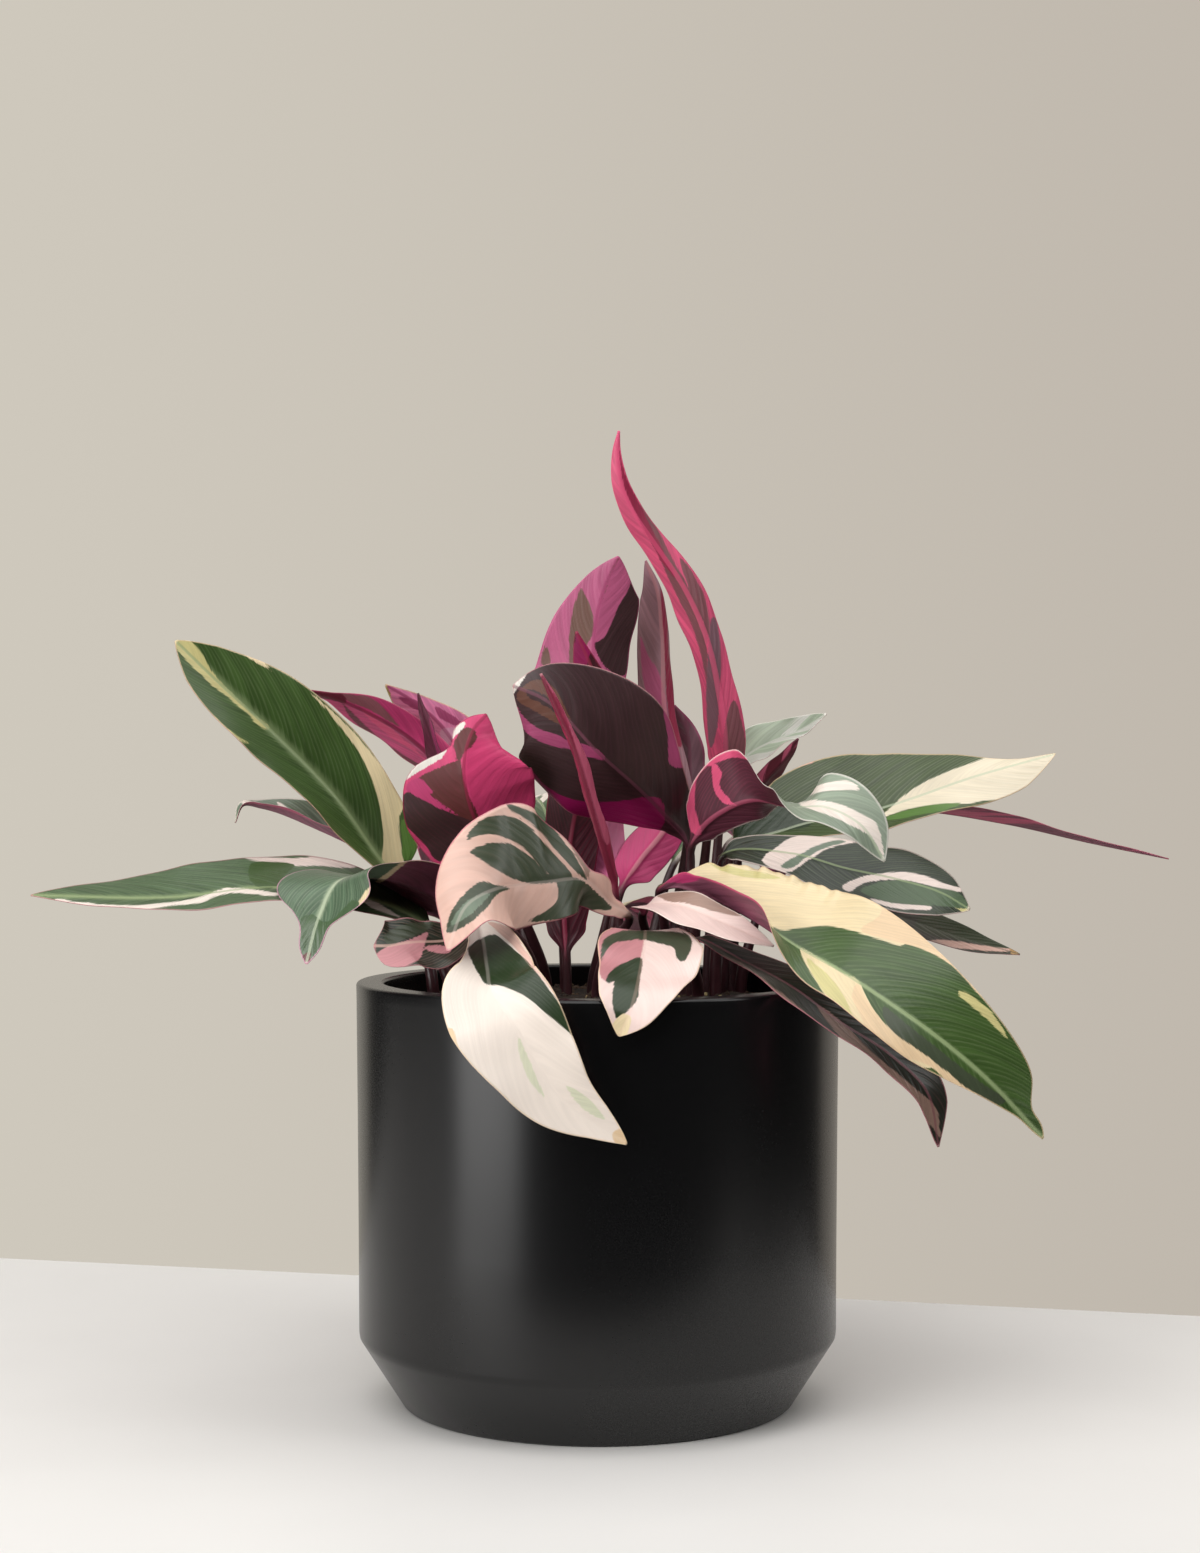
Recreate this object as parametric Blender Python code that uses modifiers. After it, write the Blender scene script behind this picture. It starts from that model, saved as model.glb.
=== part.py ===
"""Potted prayer plant: a black pot, its soil and one solid for each leaf with its stalk.

Lengths are in millimetres until a mesh is made.  X runs to the right, Y away from the viewer and
Z up; the origin is the middle of the pot's foot.
"""
import math
from typing import NamedTuple

import bmesh
import bpy
from mathutils import Vector

MM = 0.001
SEAT_GAP = 0.3

# Pot, a turned cylinder with a chamfered foot
POT_HEIGHT = 173.6
POT_RADIUS = 100.0
POT_CREASE_RADIUS = 98.7
POT_CREASE_HEIGHT = 27.5
POT_FOOT_RADIUS = 80.0
POT_MOUTH_RADIUS = 88.6
POT_WALL_RADIUS_LOW = 87.4
POT_FLOOR_RADIUS = 71.0
POT_FLOOR = 12.0
POT_EDGE = 1.4
POT_SIDES = 64

# Soil, 8.6 mm below the rim
SOIL_TOP = 165.0
SOIL_SIDES = 32
HOLE_FLOOR = 150.0
HOLE_GAP = 0.45
HOLE_SIDES = 10

# Leaves: rings across the blade and stalk, points across the blade
BLADE_COLUMNS = 4
STALK_ROWS = 5
STALK_CLEAR = 168.0
BLADE_THICKNESS = 0.8
MIDRIB_DEPTH = 0.9
NECK = 0.08
TIP_HALF_WIDTH = 0.5
STATIONS = (0.0, 0.1, 0.3, 0.5, 0.7, 0.9, 1.0)


class Leaf(NamedTuple):
    """One leaf: where it grows, the line of its midrib and the shape across it."""

    foot: tuple
    stalk: list
    blade: list
    up: list
    left: tuple
    right: tuple
    fold: tuple = (20, 15, 10)
    curl: tuple = (0, 0)
    wave: tuple = (0.8, 3, 0.0)
    thick: tuple = (2.6, 1.7)
    rows: int = 11
    colour: str = "green"


LEAVES = {
    "leaf_left_upright": Leaf(
        foot=(-62, 14), stalk=[(-70, 15, 190)],
        blade=[(-82, 14, 211), (-93, 10, 226), (-108, 4, 248), (-132, -4, 274), (-157, -12, 298), (-173, -16, 314)],
        up=[(0.51, -0.83, 0.22), (0.51, -0.83, 0.22), (0.4, -0.86, 0.3)],
        left=(8, 19, 21, 20, 11), right=(17, 23, 25, 24, 17), fold=(38, 34, 16)),
    "leaf_left_narrow": Leaf(
        foot=(-70, 24), stalk=[(-72, 26, 184)],
        blade=[(-75, 28, 200), (-96, 26, 224), (-120, 20, 237), (-141, 14, 245), (-149, 10, 246), (-152, 8, 239)],
        up=[(0.3, 0.25, 0.9), (0.3, 0.25, 0.9), (-0.6, 0.0, 0.8)],
        left=(4, 7, 8, 6, 2), right=(5, 10, 12, 9, 3), fold=(50, 50, 40), colour="maroon"),
    "leaf_left_long": Leaf(
        foot=(-56, 2), stalk=[(-59, 0, 181)],
        blade=[(-66, -2, 192), (-102, -8, 210), (-132, -12, 213), (-174, -16, 209), (-231, -22, 210)],
        up=[(0.1, -0.44, 0.9), (0.0, -0.44, 0.9), (0.0, -0.44, 0.9)],
        left=(12, 16, 14, 11, 5), right=(12, 22, 25, 22, 10), fold=(10, 4, -4)),
    "leaf_left_drooping": Leaf(
        foot=(-47, 10), stalk=[(-49, 5, 182)],
        blade=[(-53, 0, 197), (-69, -9, 210), (-87, -19, 217), (-105, -29, 216), (-112, -36, 202), (-117, -38, 183)],
        up=[(0.2, 0.85, 0.45), (0.0, 0.15, 1.0), (-0.3, -0.85, 0.4)],
        left=(10, 20, 24, 26, 7), right=(10, 15, 19, 25, 8), fold=(20, 8, 10)),
    "leaf_magenta_left": Leaf(
        foot=(-50, 40), stalk=[(-52, 45, 200)],
        blade=[(-56, 50, 235), (-68, 46, 262), (-81, 42, 275), (-97, 36, 285), (-110, 30, 291), (-123, 24, 295)],
        up=[(0.1, 0.9, 0.45), (0.1, 0.9, 0.45), (0.1, 0.9, 0.45)],
        left=(6, 9, 9, 8, 2), right=(7, 12, 14, 12, 3), fold=(30, 30, 20), colour="magenta"),
    "leaf_pink_tip": Leaf(
        foot=(-42, 52), stalk=[(-44, 60, 200)],
        blade=[(-45, 66, 235), (-56, 64, 261), (-69, 60, 281), (-82, 52, 292), (-92, 44, 298)],
        up=[(0.1, 0.92, 0.3), (0.1, 0.92, 0.3), (0.1, 0.92, 0.3)],
        left=(7, 13, 13, 7, 2), right=(8, 15, 16, 13, 6), colour="magenta"),
    "leaf_left_spear": Leaf(
        foot=(-60, 34), stalk=[(-60, 36, 200)],
        blade=[(-61, 38, 231), (-68, 36, 263), (-73, 34, 280), (-77, 32, 294)],
        up=[(-0.2, -0.95, -0.1), (-0.2, -0.95, -0.1), (-0.2, -0.95, -0.1)],
        left=(3, 5, 5, 4, 2), right=(3, 6, 6, 5, 2), fold=(50, 50, 50), rows=8, colour="maroon"),
    "leaf_broad_pink": Leaf(
        foot=(-22, 34), stalk=[(-28, 22, 190)],
        blade=[(-39, 10, 215), (-48, 0, 236), (-53, -8, 250), (-57, -12, 262), (-58, -11, 270), (-57, -9, 278),
               (-54, -6, 285)],
        up=[(-0.1, 0.95, 0.25), (-0.1, 0.95, 0.25), (-0.1, 0.9, 0.35)],
        left=(15, 26, 29, 26, 15), right=(18, 28, 30, 14, 5), colour="magenta"),
    "leaf_dark_oval": Leaf(
        foot=(36, 32), stalk=[(38, 31, 200)],
        blade=[(39, 28, 230), (28, 14, 243), (18, 4, 253), (1, -6, 268), (-23, -8, 291), (-35, -4, 296)],
        up=[(0.15, 0.93, 0.33), (0.15, 0.93, 0.33), (0.15, 0.93, 0.33)],
        left=(9, 19, 31, 30, 14), right=(7, 30, 33, 32, 24), colour="maroon"),
    "leaf_rolled": Leaf(
        foot=(10, 8), stalk=[(10, 5, 188)],
        blade=[(8, 0, 209), (3, -8, 228), (-3, -16, 249), (-9, -22, 269), (-17, -26, 287), (-23, -28, 300)],
        up=[(0.2, 0.9, 0.35), (0.2, 0.9, 0.35), (0.2, 0.9, 0.35)],
        left=(4, 6, 6, 5, 3), right=(4, 7, 7, 6, 3), fold=(20, 20, 20), curl=(110, 110), colour="magenta"),
    "leaf_upper_pink": Leaf(
        foot=(-2, 38), stalk=[(2, 32, 188)],
        blade=[(6, 30, 210), (2, 40, 235), (-2, 46, 274), (-2, 44, 304), (-1, 42, 325), (3, 40, 340), (9, 36, 353)],
        up=[(0.0, 0.95, 0.1), (0.0, 0.95, 0.1), (0.0, 0.95, 0.1)],
        left=(8, 10, 11, 16, 16), right=(12, 22, 30, 24, 10), colour="magenta"),
    "leaf_centre_young": Leaf(
        foot=(-13, 26), stalk=[(-13, 26, 174)],
        blade=[(-13, 26, 181), (-14, 27, 199), (-12, 28, 227), (-5, 30, 265), (0, 28, 295), (-9, 22, 320)],
        up=[(0.2, 0.9, 0.2), (0.2, 0.9, 0.2), (0.2, 0.9, 0.2)],
        left=(9, 12, 12, 9, 3), right=(9, 12, 14, 15, 8), colour="maroon"),
    "leaf_upper_narrow": Leaf(
        foot=(4, 22), stalk=[(6, 22, 188)],
        blade=[(10, 22, 209), (18, 32, 222), (28, 44, 234), (36, 56, 248), (36, 62, 263), (31, 62, 278),
               (28, 62, 323), (26, 60, 340), (21, 58, 353)],
        up=[(0.2, 0.9, 0.0), (-0.2, 0.9, 0.0), (-0.35, 0.94, 0.0)],
        left=(5, 5, 7, 8, 4), right=(5, 6, 11, 13, 9), fold=(20, 45, 45), rows=13, colour="maroon"),
    "leaf_tall_twisted": Leaf(
        foot=(48, 46), stalk=[(51, 45, 215)],
        blade=[(54, 44, 252), (55, 40, 273), (52, 38, 296), (47, 34, 317), (37, 30, 339), (24, 26, 358),
               (15, 22, 371), (9, 18, 385), (8, 16, 396), (9, 14, 404)],
        up=[(0.15, 0.95, 0.1), (0.15, 0.95, 0.1), (0.15, 0.95, 0.1)],
        left=(12, 9, 10, 6, 3), right=(13, 14, 14, 11, 5), fold=(50, 55, 50), rows=13, colour="magenta"),
    "leaf_back_grey": Leaf(
        foot=(42, 70), stalk=[(46, 75, 215)],
        blade=[(54, 76, 254), (68, 76, 269), (80, 74, 275), (90, 72, 279), (101, 68, 286)],
        up=[(-0.4, -0.6, 0.7), (-0.2, -0.6, 0.7), (-0.2, -0.6, 0.7)],
        left=(6, 11, 12, 9, 5), right=(8, 11, 10, 6, 3), rows=8),
    "leaf_right_spears": Leaf(
        foot=(59, 56), stalk=[(60, 59, 205)],
        blade=[(64, 60, 240), (73, 61, 256), (82, 60, 266), (88, 60, 275)],
        up=[(-0.4, 0.8, 0.3), (-0.4, 0.8, 0.3), (-0.4, 0.8, 0.3)],
        left=(3, 5, 5, 4, 2), right=(3, 5, 5, 4, 2), rows=8, colour="maroon"),
    "leaf_curled_magenta": Leaf(
        foot=(40, 22), stalk=[(41, 18, 200)],
        blade=[(41, 14, 230), (45, 6, 238), (52, -2, 244), (65, -14, 249), (80, -22, 246), (92, -28, 246),
               (106, -32, 239), (116, -32, 224)],
        up=[(0.6, 0.6, 0.3), (0.5, 0.8, 0.3), (-0.1, 0.8, 0.55), (0.1, -0.6, 0.8), (0.3, -0.6, 0.6)],
        left=(7, 10, 13, 17, 8), right=(14, 22, 16, 14, 7), rows=14, colour="magenta"),
    "leaf_right_cream_tip": Leaf(
        foot=(54, 38), stalk=[(56, 43, 200)],
        blade=[(58, 48, 225), (83, 46, 236), (123, 38, 245), (163, 28, 259), (194, 20, 268)],
        up=[(-0.15, -0.73, 0.68), (-0.15, -0.73, 0.68), (-0.15, -0.73, 0.68)],
        left=(16, 28, 25, 16, 4), right=(12, 17, 18, 16, 11), fold=(27, 20, -28)),
    "leaf_right_edge_on": Leaf(
        foot=(50, 62), stalk=[(52, 68, 205)],
        blade=[(56, 74, 228), (94, 77, 239), (133, 72, 244), (179, 56, 238), (213, 46, 230), (246, 38, 223)],
        up=[(-0.1, 0.1, 1.0), (-0.1, 0.1, 1.0), (0.2, 0.1, 1.0)],
        left=(8, 13, 15, 13, 5), right=(8, 13, 15, 13, 5), colour="maroon"),
    "leaf_right_striped": Leaf(
        foot=(50, 26), stalk=[(51, 26, 200)],
        blade=[(52, 26, 224), (82, 17, 226), (104, 10, 220), (127, 4, 215), (143, 1, 210), (155, 0, 203)],
        up=[(0.1, -0.6, 0.78), (0.1, -0.6, 0.78), (0.2, -0.6, 0.78)],
        left=(7, 13, 18, 20, 13), right=(8, 16, 20, 22, 15), fold=(6, 2, 0)),
    "leaf_right_dark": Leaf(
        foot=(62, 44), stalk=[(66, 46, 190)],
        blade=[(71, 48, 205), (96, 44, 206), (130, 34, 198), (154, 26, 190), (179, 20, 183)],
        up=[(0.1, -0.35, 0.93), (0.1, -0.35, 0.93), (0.2, -0.35, 0.93)],
        left=(8, 14, 15, 12, 7), right=(9, 15, 17, 15, 9), fold=(8, 2, 2)),
    "leaf_big_right": Leaf(
        foot=(28, 10), stalk=[(28, -4, 195)],
        blade=[(26, -18, 214), (43, -34, 211), (64, -56, 201), (78, -70, 192), (93, -84, 184), (110, -94, 173),
               (127, -100, 161), (145, -102, 146), (169, -96, 121)],
        up=[(0.2, 0.1, 0.97), (0.2, -0.1, 0.97), (-0.1, -0.75, 0.6), (-0.2, -0.9, 0.3), (-0.2, -0.9, 0.2)],
        left=(16, 27, 30, 24, 13), right=(9, 14, 15, 14, 4), fold=(58, 50, 18, 8, 5), rows=14),
    "leaf_pale_small": Leaf(
        foot=(22, 2), stalk=[(20, -12, 192)],
        blade=[(18, -28, 205), (33, -46, 207), (49, -56, 201), (69, -64, 192)],
        up=[(0.0, -0.5, 0.85), (0.0, -0.6, 0.8), (0.2, -0.5, 0.8)],
        left=(5, 8, 8, 7, 4), right=(8, 13, 14, 12, 6), rows=8),
    "leaf_right_trailing": Leaf(
        foot=(42, 4), stalk=[(40, -8, 180)],
        blade=[(38, -20, 192), (60, -44, 184), (78, -66, 175), (93, -76, 164), (113, -78, 151), (127, -78, 137),
               (132, -76, 115)],
        up=[(0.2, -0.4, 0.9), (0.3, -0.6, 0.6), (0.6, -0.7, 0.2)],
        left=(4, 10, 9, 9, 8), right=(5, 12, 10, 10, 7)),
    "leaf_front_small": Leaf(
        foot=(14, -6), stalk=[(17, -24, 188)],
        blade=[(19, -44, 197), (18, -66, 191), (16, -86, 182), (14, -99, 175), (12, -105, 169), (8, -107, 161)],
        up=[(0.0, -0.3, 0.9), (0.0, -0.6, 0.8), (0.0, -0.95, 0.2)],
        left=(14, 23, 23, 18, 8), right=(14, 18, 16, 15, 10), fold=(8, 8, 10), rows=9),
    "leaf_front_cream": Leaf(
        foot=(-26, 18), stalk=[(-36, -16, 196)],
        blade=[(-47, -50, 203), (-44, -74, 193), (-42, -90, 185), (-40, -101, 178), (-33, -108, 169),
               (-24, -112, 153), (-15, -113, 140), (11, -110, 121)],
        up=[(0.0, -0.3, 0.9), (0.1, -0.9, 0.4), (0.2, -0.97, 0.2)],
        left=(9, 17, 19, 16, 8), right=(7, 15, 25, 18, 6)),
    "leaf_front_striped": Leaf(
        foot=(0, 12), stalk=[(6, -12, 188)],
        blade=[(14, -34, 202), (5, -44, 208), (-4, -52, 217), (-20, -64, 217), (-31, -70, 216), (-39, -78, 215),
               (-50, -88, 209), (-57, -94, 192)],
        up=[(0.1, -0.9, 0.4), (-0.05, -0.95, 0.3), (-0.4, -0.8, 0.4)],
        left=(4, 13, 16, 17, 9), right=(7, 27, 33, 25, 8), fold=(-5, 0, 0), curl=(0, -12), rows=12),
    "leaf_left_small": Leaf(
        foot=(-46, -8), stalk=[(-48, -14, 178)],
        blade=[(-52, -20, 192), (-64, -34, 192), (-76, -44, 192), (-84, -48, 191), (-89, -48, 191)],
        up=[(-0.2, -0.85, 0.5), (-0.2, -0.85, 0.5), (-0.3, -0.85, 0.5)],
        left=(5, 12, 17, 16, 10), right=(5, 9, 10, 11, 10), rows=8),
    "leaf_back_mauve": Leaf(
        foot=(32, 64), stalk=[(36, 72, 205)],
        blade=[(41, 78, 241), (41, 78, 261), (40, 76, 277), (34, 72, 290)],
        up=[(0.0, 0.9, 0.1), (0.0, 0.9, 0.1), (0.0, 0.9, 0.1)],
        left=(5, 7, 7, 5, 2), right=(5, 7, 7, 7, 3), rows=8, colour="maroon"),
    "leaf_rear_left": Leaf(
        foot=(-30, 60), stalk=[(-34, 72, 195)],
        blade=[(-38, 86, 218), (-48, 108, 232), (-60, 136, 234), (-72, 168, 222), (-78, 194, 202)],
        up=[(0.0, 0.3, 0.9), (0.0, 0.1, 0.95), (-0.1, 0.2, 0.9)],
        left=(12, 20, 22, 17, 7), right=(12, 20, 22, 17, 7)),
    "leaf_rear_middle": Leaf(
        foot=(-14, 60), stalk=[(-16, 74, 200)],
        blade=[(-20, 88, 230), (-26, 112, 246), (-34, 142, 248), (-42, 176, 236), (-48, 204, 214)],
        up=[(0.0, -0.3, 0.9), (0.0, 0.0, 0.95), (0.0, 0.3, 0.9)],
        left=(12, 21, 23, 18, 7), right=(12, 21, 23, 18, 7)),
    "leaf_rear_right": Leaf(
        foot=(22, 60), stalk=[(26, 76, 195)],
        blade=[(34, 94, 220), (48, 116, 234), (64, 142, 236), (80, 172, 224), (90, 196, 204)],
        up=[(0.0, 0.0, 0.95), (0.1, 0.1, 0.95), (0.1, 0.3, 0.9)],
        left=(11, 19, 21, 16, 6), right=(11, 19, 21, 16, 6)),
    "leaf_rear_low": Leaf(
        foot=(4, 66), stalk=[(4, 78, 185)],
        blade=[(6, 90, 197), (10, 108, 200), (18, 130, 194), (26, 152, 176), (30, 164, 156)],
        up=[(0.0, 0.0, 0.95), (0.1, 0.2, 0.95), (0.1, 0.6, 0.6)],
        left=(8, 15, 16, 12, 5), right=(8, 15, 16, 12, 5), rows=9),
}

LEAF_COLOURS = {
    "green": (0.045, 0.10, 0.03, 1.0),
    "maroon": (0.07, 0.015, 0.02, 1.0),
    "magenta": (0.42, 0.03, 0.11, 1.0),
}


def make_material(name, colour, roughness, metallic=0.0):
    """A Principled finish with one colour."""
    material = bpy.data.materials.new(name)
    material.use_nodes = True
    shader = material.node_tree.nodes["Principled BSDF"]
    shader.inputs["Base Color"].default_value = colour
    shader.inputs["Roughness"].default_value = roughness
    shader.inputs["Metallic"].default_value = metallic
    return material


def add_object(name, mesh, material, collection):
    """Put a mesh in the scene with its material."""
    item = bpy.data.objects.new(name, mesh)
    if material is not None:
        mesh.materials.append(material)
    collection.objects.link(item)
    return item


def turned(name, profile, sides, material, collection):
    """A solid turned about Z from (radius, height) points that run down its outer side."""
    mesh = bpy.data.meshes.new(name)
    points = [(radius * MM, 0.0, height * MM) for radius, height in profile]
    edges = [(i, i + 1) for i in range(len(points) - 1)]
    mesh.from_pydata(points, edges, [])
    item = add_object(name, mesh, material, collection)
    screw = item.modifiers.new("turn", "SCREW")
    screw.steps = sides
    screw.render_steps = sides
    screw.use_merge_vertices = True
    screw.merge_threshold = 0.00002
    return item


def arc(centre, radius, start, end, steps):
    """Points on an arc in the profile's plane, with angles in degrees."""
    points = []
    for i in range(steps + 1):
        angle = math.radians(start + (end - start) * i / steps)
        points.append((centre[0] + radius * math.cos(angle), centre[1] + radius * math.sin(angle)))
    return points


def make_pot(material, collection):
    """The pot: floor, inner wall, rounded rim, outer wall and chamfer down to the foot."""
    rim = POT_HEIGHT - POT_EDGE
    profile = [(0.0, POT_FLOOR), (POT_FLOOR_RADIUS, POT_FLOOR), (POT_WALL_RADIUS_LOW, POT_CREASE_HEIGHT)]
    profile += arc((POT_MOUTH_RADIUS + POT_EDGE, rim), POT_EDGE, 180, 90, 2)
    profile += arc((POT_RADIUS - POT_EDGE, rim), POT_EDGE, 90, 0, 2)
    profile += [(POT_CREASE_RADIUS, POT_CREASE_HEIGHT), (POT_FOOT_RADIUS, 0.0), (0.0, 0.0)]
    return turned("pot", profile, POT_SIDES, material, collection)


def make_soil(material, collection, cutters):
    """The soil: a low mound that fills the pot, with a plain hole for each stalk."""
    top = [(0.0, SOIL_TOP + 0.6), (30.0, SOIL_TOP + 0.3), (62.0, SOIL_TOP), (80.0, SOIL_TOP - 0.8)]
    side = POT_MOUTH_RADIUS - SEAT_GAP
    low = POT_CREASE_HEIGHT
    profile = top + [
        (side - 0.05, SOIL_TOP - 1.5),
        (POT_WALL_RADIUS_LOW - SEAT_GAP, low + 0.1),
        (POT_FLOOR_RADIUS - SEAT_GAP, POT_FLOOR + SEAT_GAP),
        (0.0, POT_FLOOR + SEAT_GAP),
    ]
    soil = turned("soil", profile, SOIL_SIDES, material, collection)
    holes = bmesh.new()
    depth = SOIL_TOP + 6.0 - HOLE_FLOOR
    for leaf in LEAVES.values():
        radius = (leaf.thick[0] + HOLE_GAP) / math.cos(math.pi / HOLE_SIDES)
        made = bmesh.ops.create_cone(
            holes, cap_ends=True, segments=HOLE_SIDES, radius1=radius * MM, radius2=radius * MM, depth=depth * MM)
        place = Vector((leaf.foot[0], leaf.foot[1], HOLE_FLOOR + depth / 2)) * MM
        bmesh.ops.translate(holes, vec=place, verts=made["verts"])
    mesh = bpy.data.meshes.new("stalk_holes")
    holes.to_mesh(mesh)
    holes.free()
    cutter = add_object("stalk_holes", mesh, None, cutters)
    cutter.hide_render = True
    cutter.display_type = "WIRE"
    cut = soil.modifiers.new("stalk holes", "BOOLEAN")
    cut.operation = "DIFFERENCE"
    cut.object = cutter
    return soil


class Route:
    """A smooth line through points, measured along its chords."""

    def __init__(self, points):
        self.points = [Vector(point) for point in points]
        self.marks = [0.0]
        for a, b in zip(self.points, self.points[1:]):
            self.marks.append(self.marks[-1] + (b - a).length)
        steps = []
        for i in range(len(self.points) - 1):
            steps.append((self.points[i + 1] - self.points[i]) / (self.marks[i + 1] - self.marks[i]))
        self.slopes = [steps[0]]
        for i in range(1, len(steps)):
            share = (self.marks[i + 1] - self.marks[i]) / (self.marks[i + 1] - self.marks[i - 1])
            self.slopes.append(steps[i - 1] * share + steps[i] * (1 - share))
        self.slopes.append(steps[-1])

    def at(self, mark):
        """The point at a distance along the chords."""
        last = len(self.points) - 2
        i = 0
        while i < last and mark > self.marks[i + 1]:
            i += 1
        span = self.marks[i + 1] - self.marks[i]
        t = (mark - self.marks[i]) / span
        point = self.points[i] * (1 + 2 * t) * (1 - t) ** 2
        point += self.slopes[i] * span * t * (1 - t) ** 2
        point += self.points[i + 1] * t * t * (3 - 2 * t)
        point += self.slopes[i + 1] * span * t * t * (t - 1)
        return point

    def heading(self, mark):
        """The unit direction of travel at that distance."""
        low = max(mark - 0.5, 0.0)
        high = min(mark + 0.5, self.marks[-1])
        return (self.at(high) - self.at(low)).normalized()


def ease(t):
    """A soft step from 0 to 1."""
    t = min(max(t, 0.0), 1.0)
    return t * t * (3 - 2 * t)


def between(stations, v):
    """A value read softly from evenly spaced stations over 0 to 1."""
    place = min(max(v, 0.0), 1.0) * (len(stations) - 1)
    i = min(int(place), len(stations) - 2)
    t = ease(place - i)
    return stations[i] * (1 - t) + stations[i + 1] * t


def half_width(leaf, v, side):
    """The blade's width from midrib to margin on one side (0 left, 1 right) at v along it."""
    widths = (0.0,) + (leaf.right if side else leaf.left) + (0.0,)
    v = min(max(v, 0.0), 1.0)
    i = 0
    while i < len(STATIONS) - 2 and v > STATIONS[i + 1]:
        i += 1
    t = (v - STATIONS[i]) / (STATIONS[i + 1] - STATIONS[i])
    if i == 0:
        shape = widths[1] * math.sin(math.pi / 2 * t) ** 0.7
    elif i == len(STATIONS) - 2:
        shape = widths[i] * (1 - t) ** 0.8
    else:
        slopes = []
        for k in (i, i + 1):
            slopes.append((widths[k + 1] - widths[k - 1]) / (STATIONS[k + 1] - STATIONS[k - 1]))
        span = STATIONS[i + 1] - STATIONS[i]
        shape = widths[i] * (1 + 2 * t) * (1 - t) ** 2 + slopes[0] * span * t * (1 - t) ** 2
        shape += widths[i + 1] * t * t * (3 - 2 * t) + slopes[1] * span * t * t * (t - 1)
    least = leaf.thick[1] + (TIP_HALF_WIDTH - leaf.thick[1]) * v
    return math.hypot(shape, least)


def across(leaf, v, u):
    """Where a point lies across the blade: sideways, towards the upper face, and its tilt."""
    side = 1 if u > 0 else 0
    reach = half_width(leaf, v, side)
    run = abs(u) * reach
    fold = math.radians(between(leaf.fold, v))
    bend = math.radians(leaf.curl[side]) / reach
    tilt = fold + bend * run
    if abs(bend) > 1e-6:
        out = (math.sin(tilt) - math.sin(fold)) / bend
        rise = (math.cos(fold) - math.cos(tilt)) / bend
    else:
        out = run * math.cos(fold)
        rise = run * math.sin(fold)
    size, count, phase = leaf.wave
    shift = 2.2 * side
    ripple = size * math.sin(2 * math.pi * count * v + phase + shift) * u * u * math.sin(math.pi * min(v, 1.0))
    out -= ripple * math.sin(tilt)
    rise += ripple * math.cos(tilt)
    if u < 0:
        return -out, rise, -tilt
    return out, rise, tilt


def blade_ring(leaf, v):
    """One ring of the blade, upper face from left to right and under face back again."""
    top = []
    under = []
    for j in range(BLADE_COLUMNS + 1):
        u = 2 * j / BLADE_COLUMNS - 1
        out, rise, tilt = across(leaf, v, u)
        top.append((out, rise))
        deep = BLADE_THICKNESS
        if j == BLADE_COLUMNS // 2:
            deep += MIDRIB_DEPTH * (1 - v) ** 2
        under.append((out + deep * math.sin(tilt), rise - deep * math.cos(tilt)))
    return top + under[::-1]


def stalk_ring(radius, drop):
    """One ring of the stalk, in the blade ring's order; drop 1 hangs it under its line, 0 centres it."""
    ring = []
    count = 2 * (BLADE_COLUMNS + 1)
    for j in range(count):
        angle = math.pi * (1 - (2 * j + 1) / count)
        ring.append((radius * math.cos(angle), radius * (math.sin(angle) - drop)))
    return ring


def leaf_rings(leaf):
    """All rings of a leaf from the foot of its stalk to its tip, in millimetres."""
    foot = leaf.foot
    rise = [(foot[0], foot[1], HOLE_FLOOR + SEAT_GAP), (foot[0], foot[1], STALK_CLEAR)]
    route = Route(rise + leaf.stalk + leaf.blade)
    start = route.marks[len(rise) + len(leaf.stalk)]
    length = route.marks[-1] - start
    up = [Vector(direction) for direction in leaf.up]

    blade = []
    for i in range(leaf.rows + 1):
        even = i / leaf.rows
        v = 0.5 * even + 0.25 * (1 - math.cos(math.pi * even))
        mark = start + v * length
        ahead = route.heading(mark)
        facing = between(up, v)
        facing = (facing - ahead * facing.dot(ahead)).normalized()
        open_share = ease(v / NECK)
        flat = blade_ring(leaf, v)
        round_ring = stalk_ring(leaf.thick[1], 1.0)
        ring = []
        for a, b in zip(round_ring, flat):
            ring.append((a[0] + (b[0] - a[0]) * open_share, a[1] + (b[1] - a[1]) * open_share))
        blade.append((route.at(mark), ahead, facing, ring))

    stalk = []
    facing = blade[0][2]
    clear = route.marks[1]
    marks = [start - (start - clear) * (i + 1) / STALK_ROWS for i in range(STALK_ROWS)]
    for mark in marks + [0.0]:
        ahead = route.heading(mark)
        facing = (facing - ahead * facing.dot(ahead)).normalized()
        share = ease((start - mark) / start * 1.5)
        radius = leaf.thick[1] + (leaf.thick[0] - leaf.thick[1]) * share
        stalk.append((route.at(mark), ahead, facing, stalk_ring(radius, 1.0 - share)))

    rings = []
    for centre, ahead, facing, ring in stalk[::-1] + blade:
        right = ahead.cross(facing)
        rings.append([centre + right * x + facing * z for x, z in ring])
    return rings


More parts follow.
